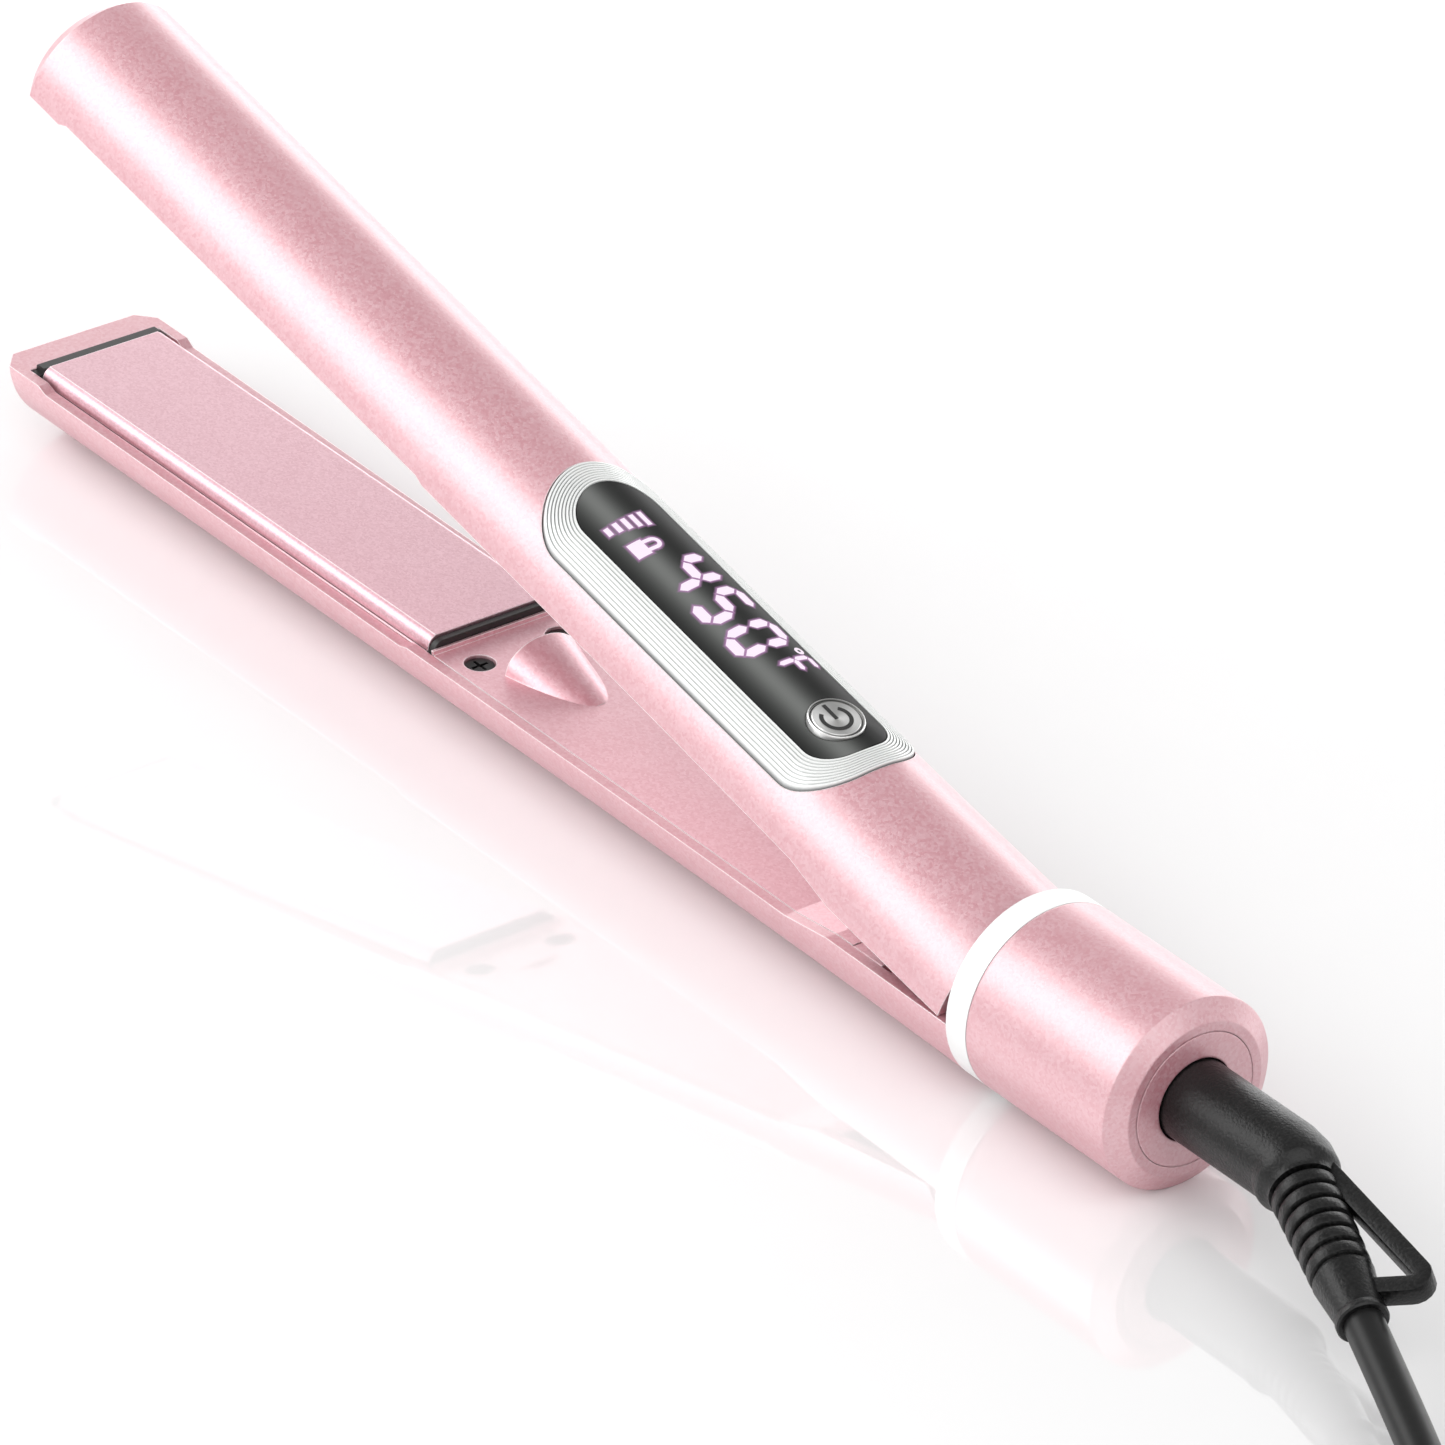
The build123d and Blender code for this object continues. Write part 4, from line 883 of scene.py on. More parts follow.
@dataclass(frozen=True)
class Softbox:
    """A large soft lamp.

    Attributes:
        name: Name of the lamp.
        place: Where it hangs.
        aim: The point that it faces.
        size: Its length and height.
        radiance: Brightness of its face.
    """

    name: str
    place: Place
    aim: Place
    size: Point
    radiance: float

    def build(self) -> None:
        """Hang the lamp."""
        data = bpy.data.lights.new(self.name, "AREA")
        data.shape = "RECTANGLE"
        data.size, data.size_y = (side * MM for side in self.size)
        data.energy = self.radiance * math.pi * data.size * data.size_y
        lamp = bpy.data.objects.new(self.name, data)
        lamp.location = Vector(self.place) * MM
        lamp.rotation_euler = (Vector(self.aim) - Vector(self.place)).to_track_quat("-Z", "Y").to_euler()
        bpy.context.scene.collection.objects.link(lamp)


@dataclass
class Studio:
    """Pale floor, softboxes and surrounding light that is dimmer overhead.

    Attributes:
        floor_side: Side of the floor.
        horizon: Brightness of the surroundings at eye level.
        overhead: Brightness overhead.
        fade: Heights, from 0 to 1, between which it dims.
        softboxes: The lamps.
    """

    floor_side: float = 9000.0
    horizon: float = 0.9
    overhead: float = 0.52
    fade: Point = (0.05, 0.8)
    softboxes: tuple[Softbox, ...] = (
        Softbox("left_strip", (-420, -580, 480), (0, 0, 30), (1600, 540), 2.8),
        Softbox("right_strip", (-300, 700, 195), (0, 0, 30), (1700, 255), 3.0),
        Softbox("rear_fill", (1500, -400, 1600), (60, 0, 20), (2600, 2600), 1.45),
    )

    def build(self) -> None:
        """Lay the floor, light it and set how colours are shown."""
        bm = bmesh.new()
        bmesh.ops.create_grid(bm, x_segments=1, y_segments=1, size=self.floor_side / 2)
        new_piece(to_mesh(bm, "studio_floor"), FLOOR)
        for softbox in self.softboxes:
            softbox.build()
        scene = bpy.context.scene
        scene.world = bpy.data.worlds.new("soft_surround")
        scene.world.use_nodes = True
        graph = Graph(scene.world.node_tree)
        height = graph.axis(graph.node("ShaderNodeTexCoord", output="Generated"), "Z")
        stops = tuple(zip(self.fade, (grey(self.horizon), grey(self.overhead))))
        glow = graph.node("ShaderNodeValToRGB", {"stops": stops}, {"Fac": height})
        sky = graph.node("ShaderNodeBackground", sockets={"Color": glow, "Strength": 1.0})
        graph.node("ShaderNodeOutputWorld", sockets={"Surface": sky})
        scene.view_settings.view_transform = "Standard"


@dataclass(frozen=True)
class UpperArmFrame:
    """Where the upper arm's pieces are shaped, closed on the lower arm, and how it opens.

    Attributes:
        hinge: A point on the hinge pin's axis.
        angle: How far the arm stands open at rest, in radians.
        axis_height: Height of the barrel's axis.
        radius: Outside radius of the barrel.
        flare_start: Where the barrel begins to widen.
        flare_length: From there to the ring.
        flare_rise: How much wider it is at the ring.
    """

    hinge: Vector
    angle: float
    axis_height: float = 16.0
    radius: float = 15.1
    flare_start: float = 15.4
    flare_length: float = 90.0
    flare_rise: float = 0.9

    @classmethod
    def from_joint(cls, joints: Sequence[Mapping[str, Any]]) -> UpperArmFrame:
        """Read the hinge's place and its opening from the frame's joints."""
        hinge = next(joint for joint in joints if joint["child"] == Body.UPPER_ARM.value)
        return cls(Vector(hinge["pos_m"]) / MM, math.radians(max(hinge["range_deg"])))

    def opening(self) -> Matrix:
        """Matrix, in metres, that opens what was shaped closed."""
        pin = Matrix.Translation(self.hinge * MM)
        return pin @ Matrix.Rotation(self.angle, 4, "Y") @ pin.inverted()

    def span(self, node: bpy.types.Object) -> tuple[Vector, Vector]:
        """Measure a node, closed.

        Args:
            node: The node's object.

        Returns:
            Its lowest and highest corner, in millimetres.
        """
        closing = self.opening().inverted()
        corners = [closing @ vertex.co / MM for vertex in node.data.vertices]
        low = Vector([min(corner[i] for corner in corners) for i in range(3)])
        high = Vector([max(corner[i] for corner in corners) for i in range(3)])
        return low, high

    def radius_at(self, x: float) -> float:
        """Outside radius of the barrel at a place along it."""
        return self.radius + self.flare_rise * (max(x - self.flare_start, 0.0) / self.flare_length) ** 2

    def over_plan(self, x: float, y: float, height: float) -> Vector:
        """Point straight above a plan point, at a height outside the barrel."""
        radius = self.radius_at(x) + height
        return Vector((x, y, self.axis_height + math.sqrt(radius**2 - y**2)))

    def round_barrel(self, x: float, along: float, height: float) -> Vector:
        """Point at an arc length round the barrel from its crown, at a height outside it."""
        radius = self.radius_at(x) + height
        angle = along / self.radius_at(x)
        return Vector((x, radius * math.sin(angle), self.axis_height + radius * math.cos(angle)))

    def opened(self, bm: BMesh, name: str) -> bpy.types.Mesh:
        """Mesh of a shape made closed, in millimetres, turned open."""
        return to_mesh(bm, name, self.opening() @ TO_METRES)


@dataclass(frozen=True)
class NodeSkins:
    """Tie and plug in their nodes' shapes, with corners merged and edges rounded.

    Attributes:
        nodes: The frame's node objects.
        skins: Node, piece, slot and width of the rounded edges of each.
        merge: Distance within which loose corners are one.
        flat_angle: Angle in degrees under which facets are one.
        bevel_angle: Angle in degrees from which an edge is rounded.
        bevel_steps: Facets of a rounded edge.
    """

    nodes: Mapping[str, bpy.types.Object]
    skins: tuple[tuple[str, str, Slot, float], ...] = (
        ("cord_tie", "hank_tie", Slot.BLACK_RUBBER, 0.25),
        ("plug_body", "mains_plug", Slot.BLACK_RUBBER, 0.6),
        ("plug_blades", "mains_blades", Slot.CONTACT_METAL, 0.3),
    )
    merge: float = 0.001
    flat_angle: float = 0.3
    bevel_angle: float = 32.0
    bevel_steps: int = 3

    def build(self) -> list[bpy.types.Object]:
        """Build the pieces and return them."""
        return [self._skin(*skin) for skin in self.skins]

    def _skin(self, node: str, name: str, slot: Slot, edge: float) -> bpy.types.Object:
        """Copy a node.

        Args:
            node: The node that is copied and replaced.
            name: Name of the piece.
            slot: Its material slot.
            edge: Width of its rounded edges.

        Returns:
            The new piece.
        """
        bm = bmesh.new()
        bm.from_mesh(self.nodes[node].data)
        bmesh.ops.remove_doubles(bm, verts=bm.verts, dist=self.merge * MM)
        flat_angle = math.radians(self.flat_angle)
        bmesh.ops.dissolve_limit(bm, angle_limit=flat_angle, verts=bm.verts, edges=bm.edges)
        piece = new_piece(to_mesh(bm, name, Matrix.Identity(4)), FINISHES[slot])
        rounding = piece.modifiers.new("rounded_edges", "BEVEL")
        rounding.width = edge * MM
        rounding.segments = self.bevel_steps
        rounding.limit_method = "ANGLE"
        rounding.angle_limit = math.radians(self.bevel_angle)
        rounding.harden_normals = True
        rounding.use_clamp_overlap = False
        return attach(piece, Body.SWIVEL, slot, node)


@dataclass(frozen=True)
class ArmFillers:
    """Strips that close the gaps beside the floating plates, bars before them and sills by the hinge.

    Attributes:
        arm: The closed arm's frame.
        nodes: The frame's node objects.
        drop: Height from a plate's face to its strips.
        height: Height of a strip.
        gap: Clearance between a plate and its strips.
        thickness: Thickness of a strip.
        tab: From a plate's front end to the line that its bar is measured from.
        bar: Where a bar begins and ends, from that line.
        sill: Length of a sill.
    """

    arm: UpperArmFrame
    nodes: Mapping[str, bpy.types.Object]
    drop: float = 2.6
    height: float = 0.9
    gap: float = 0.08
    thickness: float = 0.28
    strip_ease: float = 0.12
    tab: float = 0.6
    bar: Point = (-2.5, -0.15)
    bar_drop: float = 0.35
    bar_height: float = 1.15
    bar_inset: float = 0.5
    bar_ease: float = 0.25
    sill: float = 7.0
    sill_sides: Point = (11.3, 13.4)
    sill_levels: Point = (13.1, 14.6)

    def build(self) -> None:
        """Build the strips and bars of both arms and the sills of the lower one."""
        lower = [Vector(corner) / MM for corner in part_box("lower_heating_plate")]
        upper = self.arm.span(self.nodes["upper_heating_plate"])
        cover_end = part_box("lower_inner_cover")[1][0] / MM
        for arm, body, (low, high), inward, placing in (
            ("lower", Body.BASE, lower, -1, TO_METRES),
            ("upper", Body.UPPER_ARM, upper, 1, self.arm.opening() @ TO_METRES),
        ):
            face = high.z if inward < 0 else low.z
            level = face + inward * self.drop
            inner = high.y + self.gap
            strips = bmesh.new()
            levels = sorted((level, level + inward * self.height))
            self._pair(strips, (low.x, high.x), (inner, inner + self.thickness), levels)
            if body is Body.BASE:
                self._pair(strips, (cover_end, cover_end + self.sill), self.sill_sides, self.sill_levels)
            bar = self._bar(low.x, high.y, face, inward)
            for bm, name, slot in (
                (strips, "gap_strips", Slot.INNER_ROSE),
                (bar, "front_bar", Slot.BLACK_PLASTIC),
            ):
                mesh = to_mesh(bm, f"{arm}_{name}", placing)
                attach(new_piece(mesh, FINISHES[slot]), body, slot)

    def _bar(self, plate_x: float, half: float, face: float, inward: int) -> BMesh:
        """Bar with eased edges across the arm before a plate.

        Args:
            plate_x: Where the plate begins.
            half: Half the plate's width.
            face: Height of the plate's face.
            inward: 1 or -1, the way from the face into the arm.

        Returns:
            The closed shape, in millimetres.
        """
        ease = self.bar_ease
        start, end = (plate_x + self.tab + offset for offset in self.bar)
        top, foot = self.bar_drop, self.bar_drop + self.bar_height
        outline = [(start, foot), (start, top + ease), (start + ease, top)]
        outline += [(end - ease, top), (end, top + ease), (end, foot)]
        bm = bmesh.new()
        side = half - self.bar_inset
        profile = bm.faces.new([bm.verts.new((x, -side, face + inward * drop)) for x, drop in outline])
        raised = bmesh.ops.extrude_face_region(bm, geom=[profile])["geom"]
        bmesh.ops.translate(bm, vec=(0.0, 2 * side, 0.0), verts=corners_of(raised))
        bmesh.ops.recalc_face_normals(bm, faces=bm.faces)
        return bm

    def _pair(self, bm: BMesh, reach: Point, sides: Point, levels: Sequence[float]) -> None:
        """Add a strip with eased edges on each side.

        Args:
            bm: The bmesh that gets the strips.
            reach: Where they begin and end along the arm.
            sides: Their inner and outer distance from the middle.
            levels: Their lowest and highest level.
        """
        ease = self.strip_ease
        inner, outer = sides
        bottom, top = levels
        section = [(inner, bottom), (outer, bottom), (outer, top - ease), (outer - ease, top), (inner, top)]
        stations = [Matrix.Translation((x, 0.0, 0.0)) for x in reach]
        for side in (-1, 1):
            sweep(bm, [(side * across, up) for across, up in section], stations)
        bmesh.ops.recalc_face_normals(bm, faces=bm.faces)


@dataclass(frozen=True)
class PanelOutline:
    """Plan outline of the display: round in front, bowed with rounded corners behind."""

    front: float
    rear: float
    half_width: float
    corner: float
    bow: float = 1.4
    nose_steps: int = 18
    side_steps: int = 14
    corner_steps: int = 12
    bow_steps: int = 8

    def points(self) -> list[Point]:
        """Go round the outline with as many points on each stretch for any size.

        Returns:
            The points.
        """
        bow_radius = (self.half_width**2 + self.bow**2) / (2 * self.bow)
        bow_centre = self.rear - bow_radius
        rise = self.half_width - self.corner
        corner_x = bow_centre + math.sqrt((bow_radius - self.corner) ** 2 - rise**2)
        meet = math.atan2(rise, corner_x - bow_centre)
        nose_x = self.front + self.half_width
        upper = arc((nose_x, 0.0), self.half_width, math.pi, math.pi / 2, self.nose_steps)
        shares = (i / self.side_steps for i in range(1, self.side_steps))
        upper += [(between(nose_x, corner_x, share), self.half_width) for share in shares]
        upper += arc((corner_x, rise), self.corner, math.pi / 2, meet, self.corner_steps)
        upper += arc((bow_centre, 0.0), bow_radius, meet, 0.0, self.bow_steps)[1:]
        return upper + [(x, -y) for x, y in reversed(upper[1:-1])]


@dataclass
class DisplayPanel:
    """Ribbed bezel round the smoked lens, lit readout and power button of the upper arm.

    Attributes:
        arm: The closed arm's frame.
        nodes: The frame's node objects.
        ribs: Ribs across the bezel.
        facets: Strips of one rib.
    """

    arm: UpperArmFrame
    nodes: Mapping[str, bpy.types.Object]
    ribs: int = 9
    facets: int = 4
    seam: float = 0.12
    bezel_half: float = 11.9
    bezel_corner: float = 9.0
    lens_half: float = 7.4
    lens_corner: float = 5.3
    lens_gap: float = 0.1
    crest: float = 0.35
    groove: float = 0.05
    depth: float = -0.9
    lens_proud: float = 0.25

    def build(self) -> None:
        """Build every piece of the panel."""
        self._bezel()
        Readout(self.arm, self.lens_proud).build()
        PowerButton(self.arm, self.nodes["power_button"]).build()

    def _outlines(self) -> tuple[PanelOutline, PanelOutline]:
        """Read the ends of the bezel from the nodes.

        Returns:
            Outlines of its outer and inner edge.
        """
        low, high = self.arm.span(self.nodes["display_bezel"])
        lens_low, lens_high = self.arm.span(self.nodes["display_lens"])
        outer = PanelOutline(
            low.x + self.seam, high.x - self.seam, self.bezel_half - self.seam, self.bezel_corner - self.seam
        )
        inner = PanelOutline(
            lens_low.x - self.lens_gap, lens_high.x + self.lens_gap, self.lens_half, self.lens_corner
        )
        return outer, inner

    def _bezel(self) -> None:
        """Ring between two outlines with concentric ribs, laid on the barrel."""
        bm = bmesh.new()
        share = bm.verts.layers.float.new("share")
        height = bm.verts.layers.float.new("height")
        shade = bm.verts.layers.float.new(GROOVE_SHADE)
        outer, inner = (closed_loop(bm, flat(outline.points())) for outline in self._outlines())
        for edge in inner:
            for corner in edge.verts:
                corner[share] = 1.0
        rims = set(outer + inner)
        bmesh.ops.bridge_loops(bm, edges=outer + inner)
        spokes = [edge for edge in bm.edges if edge not in rims]
        strips = self.ribs * self.facets
        bmesh.ops.subdivide_edges(bm, edges=spokes, cuts=strips - 1)
        for corner in bm.verts:
            corner[shade] = float(round(corner[share] * strips) % self.facets == 0)
            corner[height] = self.groove if corner[shade] else self.crest
        borders = [edge for edge in bm.edges if edge.is_boundary]
        for corner in corners_of(bmesh.ops.extrude_edge_only(bm, edges=borders)["geom"]):
            corner[height] = self.depth
        bmesh.ops.bridge_loops(bm, edges=[edge for edge in bm.edges if edge.is_boundary])
        for corner in bm.verts:
            corner.co = self.arm.over_plan(corner.co.x, corner.co.y, corner[height])
        bmesh.ops.recalc_face_normals(bm, faces=bm.faces)
        piece = new_piece(self.arm.opened(bm, "ribbed_bezel"), FINISHES[Slot.SILVER_TRIM])
        attach(piece, Body.UPPER_ARM, Slot.SILVER_TRIM, "display_bezel")


@dataclass(frozen=True)
class DigitCell:
    """A seven-segment figure, drawn by the places of its segments.

    Attributes:
        centre: Middle of the cell along the barrel.
        half_width: Middle to a side segment.
        half_height: Middle to the top segment.
        stroke: Width of a segment.
        middle: Arc length from the crown to the middle segment.
        lean: Shift along the barrel for each unit of height.
        gap: Clearance at a segment's ends.
    """

    centre: float
    half_width: float = 2.45
    half_height: float = 4.5
    stroke: float = 1.75
    middle: float = 1.0
    lean: float = -0.07
    gap: float = 0.3

    def segment(self, letter: str) -> list[Point]:
        """Outline a segment.

        Args:
            letter: Its usual letter, a to g.

        Returns:
            Its six corners.
        """
        wide, tall = self.half_width, self.half_height
        upright = letter in "bcef"
        across, up = {
            "a": (0.0, tall),
            "b": (wide, tall / 2),
            "c": (wide, -tall / 2),
            "d": (0.0, -tall),
            "e": (-wide, -tall / 2),
            "f": (-wide, tall / 2),
            "g": (0.0, 0.0),
        }[letter]
        reach = (tall / 2 if upright else wide) - self.gap
        half = self.stroke / 2
        ends = ((-reach, 0.0), (half - reach, half), (reach - half, half))
        outline = ends + tuple((-x, -y) for x, y in ends)
        placed = [(across + y, up + x) if upright else (across + x, up + y) for x, y in outline]
        return [(self.centre + x + self.lean * y, self.middle + y) for x, y in placed]


@dataclass
class Readout:
    """Lit figures and signs on the lens, with a soft haze round them.

    Attributes:
        arm: The closed arm's frame.
        lens_proud: Height of the lens outside the barrel.
        slice_middle: Arc length from the crown about which the shapes are cut into strips.
        figures: Cell and lit segments of each figure.
        bar_first: Start, end and arc length from the crown of the shortest bar.
        bar_last: The same of the longest one.
        lock_body: Start, end, lowest and highest arc length of the padlock's body.
    """

    arm: UpperArmFrame
    lens_proud: float
    lift: float = 0.03
    thickness: float = 0.06
    merge: float = 0.01
    haze_lift: float = 0.015
    haze_width: float = 0.58
    slice_width: float = 0.45
    slice_middle: float = 2.0
    slices: int = 36
    figures: tuple[tuple[DigitCell, str], ...] = (
        (DigitCell(15.35), "fgbc"),
        (DigitCell(23.85), "afgcd"),
        (DigitCell(32.4), "abcdef"),
        (
            DigitCell(40.5, half_width=1.4, half_height=3.2, stroke=0.9, middle=3.1, lean=-0.1, gap=0.12),
            "afge",
        ),
    )
    degree_place: Point = (37.2, 5.75)
    degree_radii: Point = (0.32, 0.85)
    degree_steps: int = 20
    bars: int = 5
    bar_first: Place = (0.75, 2.5, -4.85)
    bar_last: Place = (0.27, 3.56, 1.75)
    bar_width: float = 0.85
    lock_body: tuple[float, float, float, float] = (5.7, 9.15, -4.45, -1.9)
    lock_middle: Point = (7.4, -0.5)
    lock_radii: Point = (0.6, 1.3)
    lock_steps: int = 12

    def build(self) -> None:
        """Build the lit shapes and their haze."""
        bm = bmesh.new()
        for cell, letters in self.figures:
            for letter in letters:
                self._polygon(bm, cell.segment(letter))
        self._bars(bm)
        self._lock(bm)
        haze = bm.copy()
        self._ring(bm, self.degree_place, self.degree_radii, FULL_TURN, self.degree_steps)
        self._lit(bm)
        self._haze(haze)

    @staticmethod
    def _polygon(bm: BMesh, points: Sequence[Point]) -> None:
        """Add a flat face."""
        bm.faces.new([bm.verts.new(place) for place in flat(points)])

    def _rectangle(self, bm: BMesh, left: float, right: float, bottom: float, top: float) -> None:
        """Add a flat rectangle."""
        self._polygon(bm, ((left, bottom), (right, bottom), (right, top), (left, top)))

    @staticmethod
    def _ring(bm: BMesh, middle: Point, radii: Point, angle: float, steps: int) -> None:
        """Add a flat ring, or a part of one from the +X side on."""
        ends = [bm.verts.new((middle[0] + radius, middle[1], 0.0)) for radius in radii]
        spin(bm, ends + [bm.edges.new(ends)], (*middle, 0.0), angle, steps)

    def _bars(self, bm: BMesh) -> None:
        """Add a row of bars that grow longer.

        Args:
            bm: The bmesh that gets them.
        """
        half = self.bar_width / 2
        for i in range(self.bars):
            share = i / (self.bars - 1)
            start, end, along = (between(a, b, share) for a, b in zip(self.bar_first, self.bar_last))
            self._rectangle(bm, start, end, along - half, along + half)

    def _lock(self, bm: BMesh) -> None:
        """Add a closed padlock: a body, and a shackle of two legs and a half ring.

        Args:
            bm: The bmesh that gets it.
        """
        self._rectangle(bm, *self.lock_body)
        self._ring(bm, self.lock_middle, self.lock_radii, math.pi, self.lock_steps)
        middle, level = self.lock_middle
        for side in (-1, 1):
            near, far = (middle + side * radius for radius in self.lock_radii)
            self._rectangle(bm, near, far, self.lock_body[-1], level)

    @staticmethod
    def _face_up(bm: BMesh) -> None:
        """Turn every flat face upwards.

        Args:
            bm: The flat shapes.
        """
        bmesh.ops.recalc_face_normals(bm, faces=bm.faces)
        for face in bm.faces:
            if face.normal.z < 0:
                face.normal_flip()

    def _slice(self, bm: BMesh) -> None:
        """Cut the flat shapes into strips narrow enough to follow the round.

        Args:
            bm: The flat shapes.
        """
        for i in range(self.slices):
            cut = (i - self.slices / 2) * self.slice_width + self.slice_middle
            geom = bm.verts[:] + bm.edges[:] + bm.faces[:]
            bmesh.ops.bisect_plane(bm, geom=geom, plane_co=(0.0, cut, 0.0), plane_no=(0.0, 1.0, 0.0))

    def _lay(self, bm: BMesh, lift: float) -> None:
        """Bend flat shapes round the barrel, at a lift above the lens."""
        for corner in bm.verts:
            height = self.lens_proud + lift + corner.co.z
            corner.co = self.arm.round_barrel(corner.co.x, corner.co.y, height)

    def _lit(self, bm: BMesh) -> None:
        """Lay the shapes on the lens as thin solids.

        Args:
            bm: The flat shapes.
        """
        bmesh.ops.remove_doubles(bm, verts=bm.verts, dist=self.merge)
        self._face_up(bm)
        self._slice(bm)
        for corner in corners_of(bmesh.ops.extrude_face_region(bm, geom=bm.faces[:])["geom"]):
            corner.co.z = self.thickness
        self._lay(bm, self.lift - self.thickness)
        bmesh.ops.recalc_face_normals(bm, faces=bm.faces)
        piece = new_piece(self.arm.opened(bm, "lit_readout"), READOUT)
        attach(piece, Body.UPPER_ARM, Slot.DARK_LENS)

    def _haze(self, bm: BMesh) -> None:
        """Lay a fading border round each shape.

        Args:
            bm: The flat shapes.
        """
        haze = bm.verts.layers.float.new(HAZE_FADE)
        self._face_up(bm)
        inside = bm.faces[:]
        bmesh.ops.inset_region(
            bm, faces=inside, thickness=-self.haze_width, use_boundary=True, use_even_offset=True
        )
        outer = {corner for face in inside for corner in face.verts}
        for corner in bm.verts:
            corner[haze] = 0.0 if corner in outer else 1.0
        bmesh.ops.delete(bm, geom=inside, context="FACES_ONLY")
        self._slice(bm)
        self._lay(bm, self.haze_lift)
        piece = new_piece(self.arm.opened(bm, "readout_haze"), HAZE)
        attach(piece, Body.UPPER_ARM, Slot.DARK_LENS)


@dataclass
class PowerButton:
    """Round metal button with a rim, a groove, a turned disc and the power sign.

    Attributes:
        arm: The closed arm's frame.
        node: The button's node.
        rim: Inset from the radius and level from the top, over the rim and through the groove.
        sign_opening: Half the gap in the sign's ring, in degrees.
        bar_reach: Where the sign's bar begins and ends, from the middle.
    """

    arm: UpperArmFrame
    node: bpy.types.Object
    steps: int = 72
    merge: float = 1e-4
    radius: float = 4.6
    stem: float = 1.8
    flange: float = 5.4
    flange_thickness: float = 0.8
    flange_drop: float = 2.6
    rim: tuple[Point, ...] = (
        (0.0, -0.3), (0.06, -0.1), (0.16, 0.0), (0.28, -0.03), (0.32, -0.16),
        (0.34, -0.42), (0.66, -0.42), (0.7, -0.2), (0.82, -0.09),
    )
    disc_inset: float = 1.0
    disc_drop: float = 0.12
    sign_radius: float = 2.35
    sign_stroke: float = 0.68
    sign_opening: float = 42.0
    sign_relief: float = 0.05
    sign_depth: float = 0.15
    bar_reach: Point = (-3.35, 0.15)

    def build(self) -> None:
        """Build the button and its sign."""
        low, high = self.arm.span(self.node)
        centre = (low + high) / 2
        centre.z = high.z
        self._button(centre, low.z)
        self._sign(centre)

    def _profile(self, depth: float) -> list[Point]:
        """Section of the button from the stem's foot to the middle of the disc.

        Args:
            depth: Level of the stem's foot.

        Returns:
            Radius and level from the top of each corner.
        """
        flange_top = -self.flange_drop
        flange_foot = flange_top - self.flange_thickness
        points = [(0.0, depth), (self.stem, depth), (self.stem, flange_foot), (self.flange, flange_foot)]
        points += [(self.flange, flange_top), (self.radius, flange_top)]
        points += [(self.radius - inset, level) for inset, level in self.rim]
        return points + [(self.radius - self.disc_inset, -self.disc_drop), (0.0, -self.disc_drop)]

    def _button(self, centre: Vector, foot: float) -> None:
        """Turn the button's section about its axis.

        Args:
            centre: Middle of the button's top.
            foot: Height of the stem's foot.
        """
        bm = bmesh.new()
        section = [
            bm.verts.new((centre.x + radius, 0.0, centre.z + drop))
            for radius, drop in self._profile(foot - centre.z)
        ]
        edges = [bm.edges.new(pair) for pair in zip(section, section[1:])]
        spin(bm, section + edges, centre, FULL_TURN, self.steps)
        bmesh.ops.remove_doubles(bm, verts=bm.verts, dist=self.merge)
        bmesh.ops.recalc_face_normals(bm, faces=bm.faces)
        middle = self.arm.opening() @ (centre * MM) / MM
        finish = BrushedDisc("turned_metal", tuple(middle), self.arm.angle)
        piece = new_piece(self.arm.opened(bm, "power_key"), finish)
        attach(piece, Body.BUTTON, Slot.BRUSHED_METAL, "power_button")

    def _sign(self, centre: Vector) -> None:
        """Lay a broken ring and a bar on the disc, with the opening towards the tips.

        Args:
            centre: Middle of the button's top.
        """
        bm = bmesh.new()
        half = self.sign_stroke / 2
        top = centre.z - self.disc_drop + self.sign_relief
        foot = top - self.sign_depth
        opening = math.radians(self.sign_opening)
        inner, outer = self.sign_radius - half, self.sign_radius + half
        corners = ((inner, foot), (outer, foot), (outer, top), (inner, top))
        section = bm.faces.new([bm.verts.new((centre.x + x, centre.y, level)) for x, level in corners])
        about = Matrix.Translation(centre)
        start = about @ Matrix.Rotation(math.pi + opening, 4, "Z") @ about.inverted()
        bmesh.ops.transform(bm, matrix=start, verts=bm.verts)
        spin(bm, [section], centre, FULL_TURN - 2 * opening, self.steps)
        near, far = self.bar_reach
        bar = bmesh.ops.create_cube(bm, size=1.0)["verts"]
        bmesh.ops.scale(bm, vec=(far - near, self.sign_stroke, top - foot), verts=bar)
        place = (centre.x + (near + far) / 2, centre.y, (top + foot) / 2)
        bmesh.ops.translate(bm, vec=place, verts=bar)
        bmesh.ops.recalc_face_normals(bm, faces=bm.faces)
        piece = new_piece(self.arm.opened(bm, "power_sign"), SYMBOL_INK)
        attach(piece, Body.BUTTON, Slot.BRUSHED_METAL)


